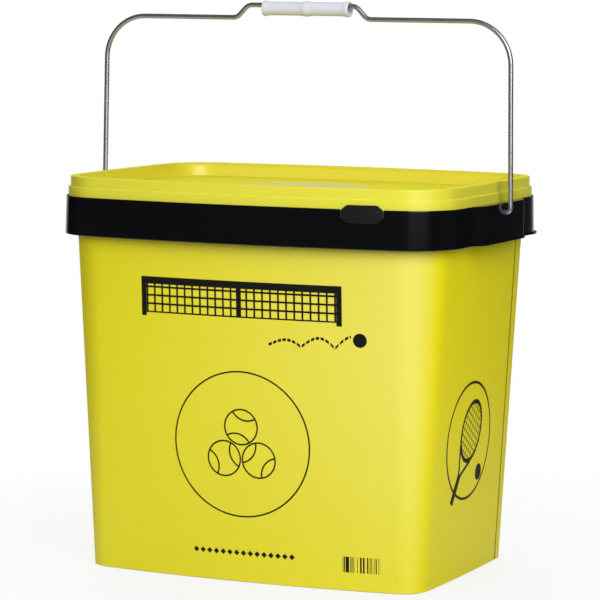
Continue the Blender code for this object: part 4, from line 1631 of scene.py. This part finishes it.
    def grip(self) -> None:
        """Model the grip as a turned tube."""
        height = self.run_height + self.crank_rise - self.grip_drop
        outline = self.grip_profile()
        turns = [2 * math.pi * step / self.grip_sides for step in range(self.grip_sides)]
        arms = [(math.cos(turn), math.sin(turn)) for turn in turns]
        rings = [
            [(self.grip_centre + x, radius * y, height + radius * z) for y, z in arms]
            for x, radius in [*outline, outline[0]]
        ]
        grip = extrude_rings("grip_tube", rings, capped=False)
        merge_doubles(grip)
        material = WHITE_PLASTIC.material()
        finish_piece(grip, "grip", "bail_grip", material, self.smooth_angles[1])


# Camera, floor and lamps


WHITE = (1.0, 1.0, 1.0)


def direction_of(azimuth: float, elevation: float) -> Vector:
    """Unit vector towards a place, with azimuth 0 at -Y and 90 at +X, in degrees."""
    az, el = math.radians(azimuth), math.radians(elevation)
    return Vector((math.sin(az) * math.cos(el), -math.cos(az) * math.cos(el), math.sin(el)))


@dataclass(frozen=True)
class Viewpoint:
    """The photograph's camera."""

    azimuth: float = 23.783
    elevation: float = 5.987
    roll: float = 0.555
    distance: float = 2834.17
    target: Point3 = (-1.026, 0.0, 239.395)
    lens: float = 187.163
    sensor: float = 36.0
    far: float = 50.0

    def build(self) -> None:
        """Make the camera and aim it."""
        az, roll = math.radians(self.azimuth), math.radians(self.roll)
        back = direction_of(self.azimuth, self.elevation)
        right = Vector((math.cos(az), math.sin(az), 0.0))
        up = back.cross(right)
        tilted_right = right * math.cos(roll) + up * math.sin(roll)
        tilted_up = up * math.cos(roll) - right * math.sin(roll)
        spot = metres(self.target) + back * self.distance * MM
        turn = Matrix((tilted_right, tilted_up, back)).transposed().to_4x4()
        bpy.ops.object.camera_add()
        camera = bpy.context.object
        camera.name = "photo_camera"
        camera.matrix_world = Matrix.Translation(spot) @ turn
        camera.data.lens = self.lens
        camera.data.sensor_width = self.sensor
        camera.data.clip_end = self.far
        bpy.context.scene.camera = camera


@dataclass(frozen=True)
class Softbox:
    """One soft lamp, aimed at the bucket, with its lengths in metres."""

    name: str
    azimuth: float
    elevation: float
    distance: float
    width: float
    height: float
    power: float
    mirrored: bool = False
    aim: Point3 = (0.0, 0.0, 0.22)

    def build(self) -> None:
        """Make the lamp."""
        back = direction_of(self.azimuth, self.elevation)
        spot = Vector(self.aim) + back * self.distance
        bpy.ops.object.light_add(type="AREA", location=spot)
        lamp = bpy.context.object
        lamp.name = self.name
        lamp.rotation_euler = (-back).to_track_quat("-Z", "Y").to_euler()
        lamp.data.shape = "RECTANGLE"
        lamp.data.size = self.width
        lamp.data.size_y = self.height
        lamp.data.energy = self.power
        lamp.visible_glossy = self.mirrored


@dataclass(frozen=True)
class Card:
    """A round card of light with a soft edge, placed and sized by angles in degrees."""

    azimuth: float
    elevation: float
    outside: float
    inside: float
    strength: float = 1.0

    def light(self, graph: Graph, direction: Socket) -> Socket:
        """Return the card's light in the direction of a ray."""
        middle = tuple(direction_of(self.azimuth, self.elevation))
        cosine = graph.vector("DOT_PRODUCT", direction, middle)["Value"]
        edge = tuple(math.cos(math.radians(angle)) for angle in (self.outside, self.inside))
        return graph.ramp(cosine, edge, (0.0, self.strength))


@dataclass(frozen=True)
class Studio:
    """Floor, backdrop and lamps for a camera. Reaches of height are sines of an elevation."""

    view: Viewpoint
    lamps: tuple[Softbox, ...] = (
        Softbox("key", 45.0, 26.0, 2.2, 1.5, 1.6, 46.0, mirrored=True),
        Softbox("fill", -24.0, 22.0, 2.6, 1.8, 1.4, 20.0),
        Softbox("top", 190.0, 66.0, 2.0, 1.6, 1.6, 9.0),
        Softbox("back", 218.0, 20.0, 2.6, 1.8, 1.4, 52.0),
    )
    floor_radius: float = 0.7
    floor_sides: int = 96
    floor_colour: Point3 = (0.72, 0.72, 0.74)
    floor_roughness: float = 0.9
    floor_fade: Point2 = (0.15, 0.6)
    floor_levels: Point2 = (0.8, 1.0)
    room_reach: Point2 = (0.12, 0.45)
    room_levels: Point2 = (0.012, 0.14)
    backdrop_reach: Point2 = (-0.02, 0.10)
    ground_reach: Point2 = (-0.30, -0.10)
    ground_level: float = 0.6
    side_card: Card = Card(108.0, -4.0, 34.0, 16.0, 0.045)

    def build(self) -> None:
        """Make the lamps, the floor and the world."""
        for lamp in self.lamps:
            lamp.build()
        self.floor()
        self.world()
        bpy.context.scene.view_settings.view_transform = "Standard"

    def floor(self) -> None:
        """Pale floor that keeps the bucket's shadow near it and runs out into white."""
        deselect()
        bpy.ops.mesh.primitive_circle_add(
            vertices=self.floor_sides, radius=self.floor_radius, fill_type="NGON"
        )
        floor = bpy.context.object
        floor.name = "studio_floor"
        surface = Surface("pale_floor")
        graph = surface.graph
        surface.set("Roughness", self.floor_roughness)
        surface.set("Specular IOR Level", 0.0)
        surface.set("Base Color", self.floor_colour)
        away = graph.vector("LENGTH", surface.coordinates["Object"])["Value"]
        fade = graph.ramp(away, self.floor_fade, self.floor_levels, Easing.LINEAR)
        white = graph.add("ShaderNodeEmission", {"Color": WHITE, "Strength": 1.0})
        seen = graph.both(graph.add("ShaderNodeLightPath").outputs["Is Camera Ray"], fade)
        shaders = {0: seen, 1: surface.shader.outputs[0], 2: white.outputs[0]}
        mixed = graph.add("ShaderNodeMixShader", shaders)
        sink = surface.material.node_tree.nodes["Material Output"]
        graph.feed(sink.inputs["Surface"], mixed.outputs[0])
        floor.data.materials.append(surface.material)

    def world(self) -> None:
        """Dim room with a white card behind the bucket, which the camera sees as pure white."""
        world = bpy.data.worlds.new("studio")
        bpy.context.scene.world = world
        world.use_nodes = True
        world.node_tree.nodes.clear()
        graph = Graph(world.node_tree)
        direction = graph.add("ShaderNodeTexCoord").outputs["Generated"]
        rays = graph.add("ShaderNodeLightPath").outputs
        height = graph.axes(direction)[2]
        azimuth, elevation = self.view.azimuth, self.view.elevation
        room = graph.ramp(height, self.room_reach, self.room_levels)
        front = Card(-azimuth, 0.0, 80.0, 50.0, 0.042).light(graph, direction)
        side = self.side_card.light(graph, direction)
        backdrop = graph.both(
            Card(azimuth + 180.0, -elevation, 41.0, 12.0).light(graph, direction),
            graph.ramp(height, self.backdrop_reach, (1.0, 0.0)),
            graph.total(rays["Is Glossy Ray"], rays["Is Transmission Ray"]),
        )
        ground = graph.both(
            Card(-azimuth, -20.0, 60.0, 30.0).light(graph, direction),
            graph.ramp(height, self.ground_reach, (self.ground_level, 0.0)),
            rays["Is Glossy Ray"],
        )
        strength = graph.total(room, front, side, backdrop, ground, rays["Is Camera Ray"])
        shade = graph.add("ShaderNodeBackground", {"Color": WHITE, "Strength": strength})
        sink = graph.add("ShaderNodeOutputWorld")
        graph.feed(sink.inputs["Surface"], shade.outputs[0])


def main() -> None:
    """Build the bucket's looks and the studio."""
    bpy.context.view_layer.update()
    tab, bail, view = TamperTab(), Bail(), Viewpoint()
    Pail().build(tab)
    WrapFilm().build()
    Lid().build()
    tab.build()
    bail.wire()
    bail.grip()
    view.build()
    Studio(view).build()


if __name__ == "__main__":
    main()
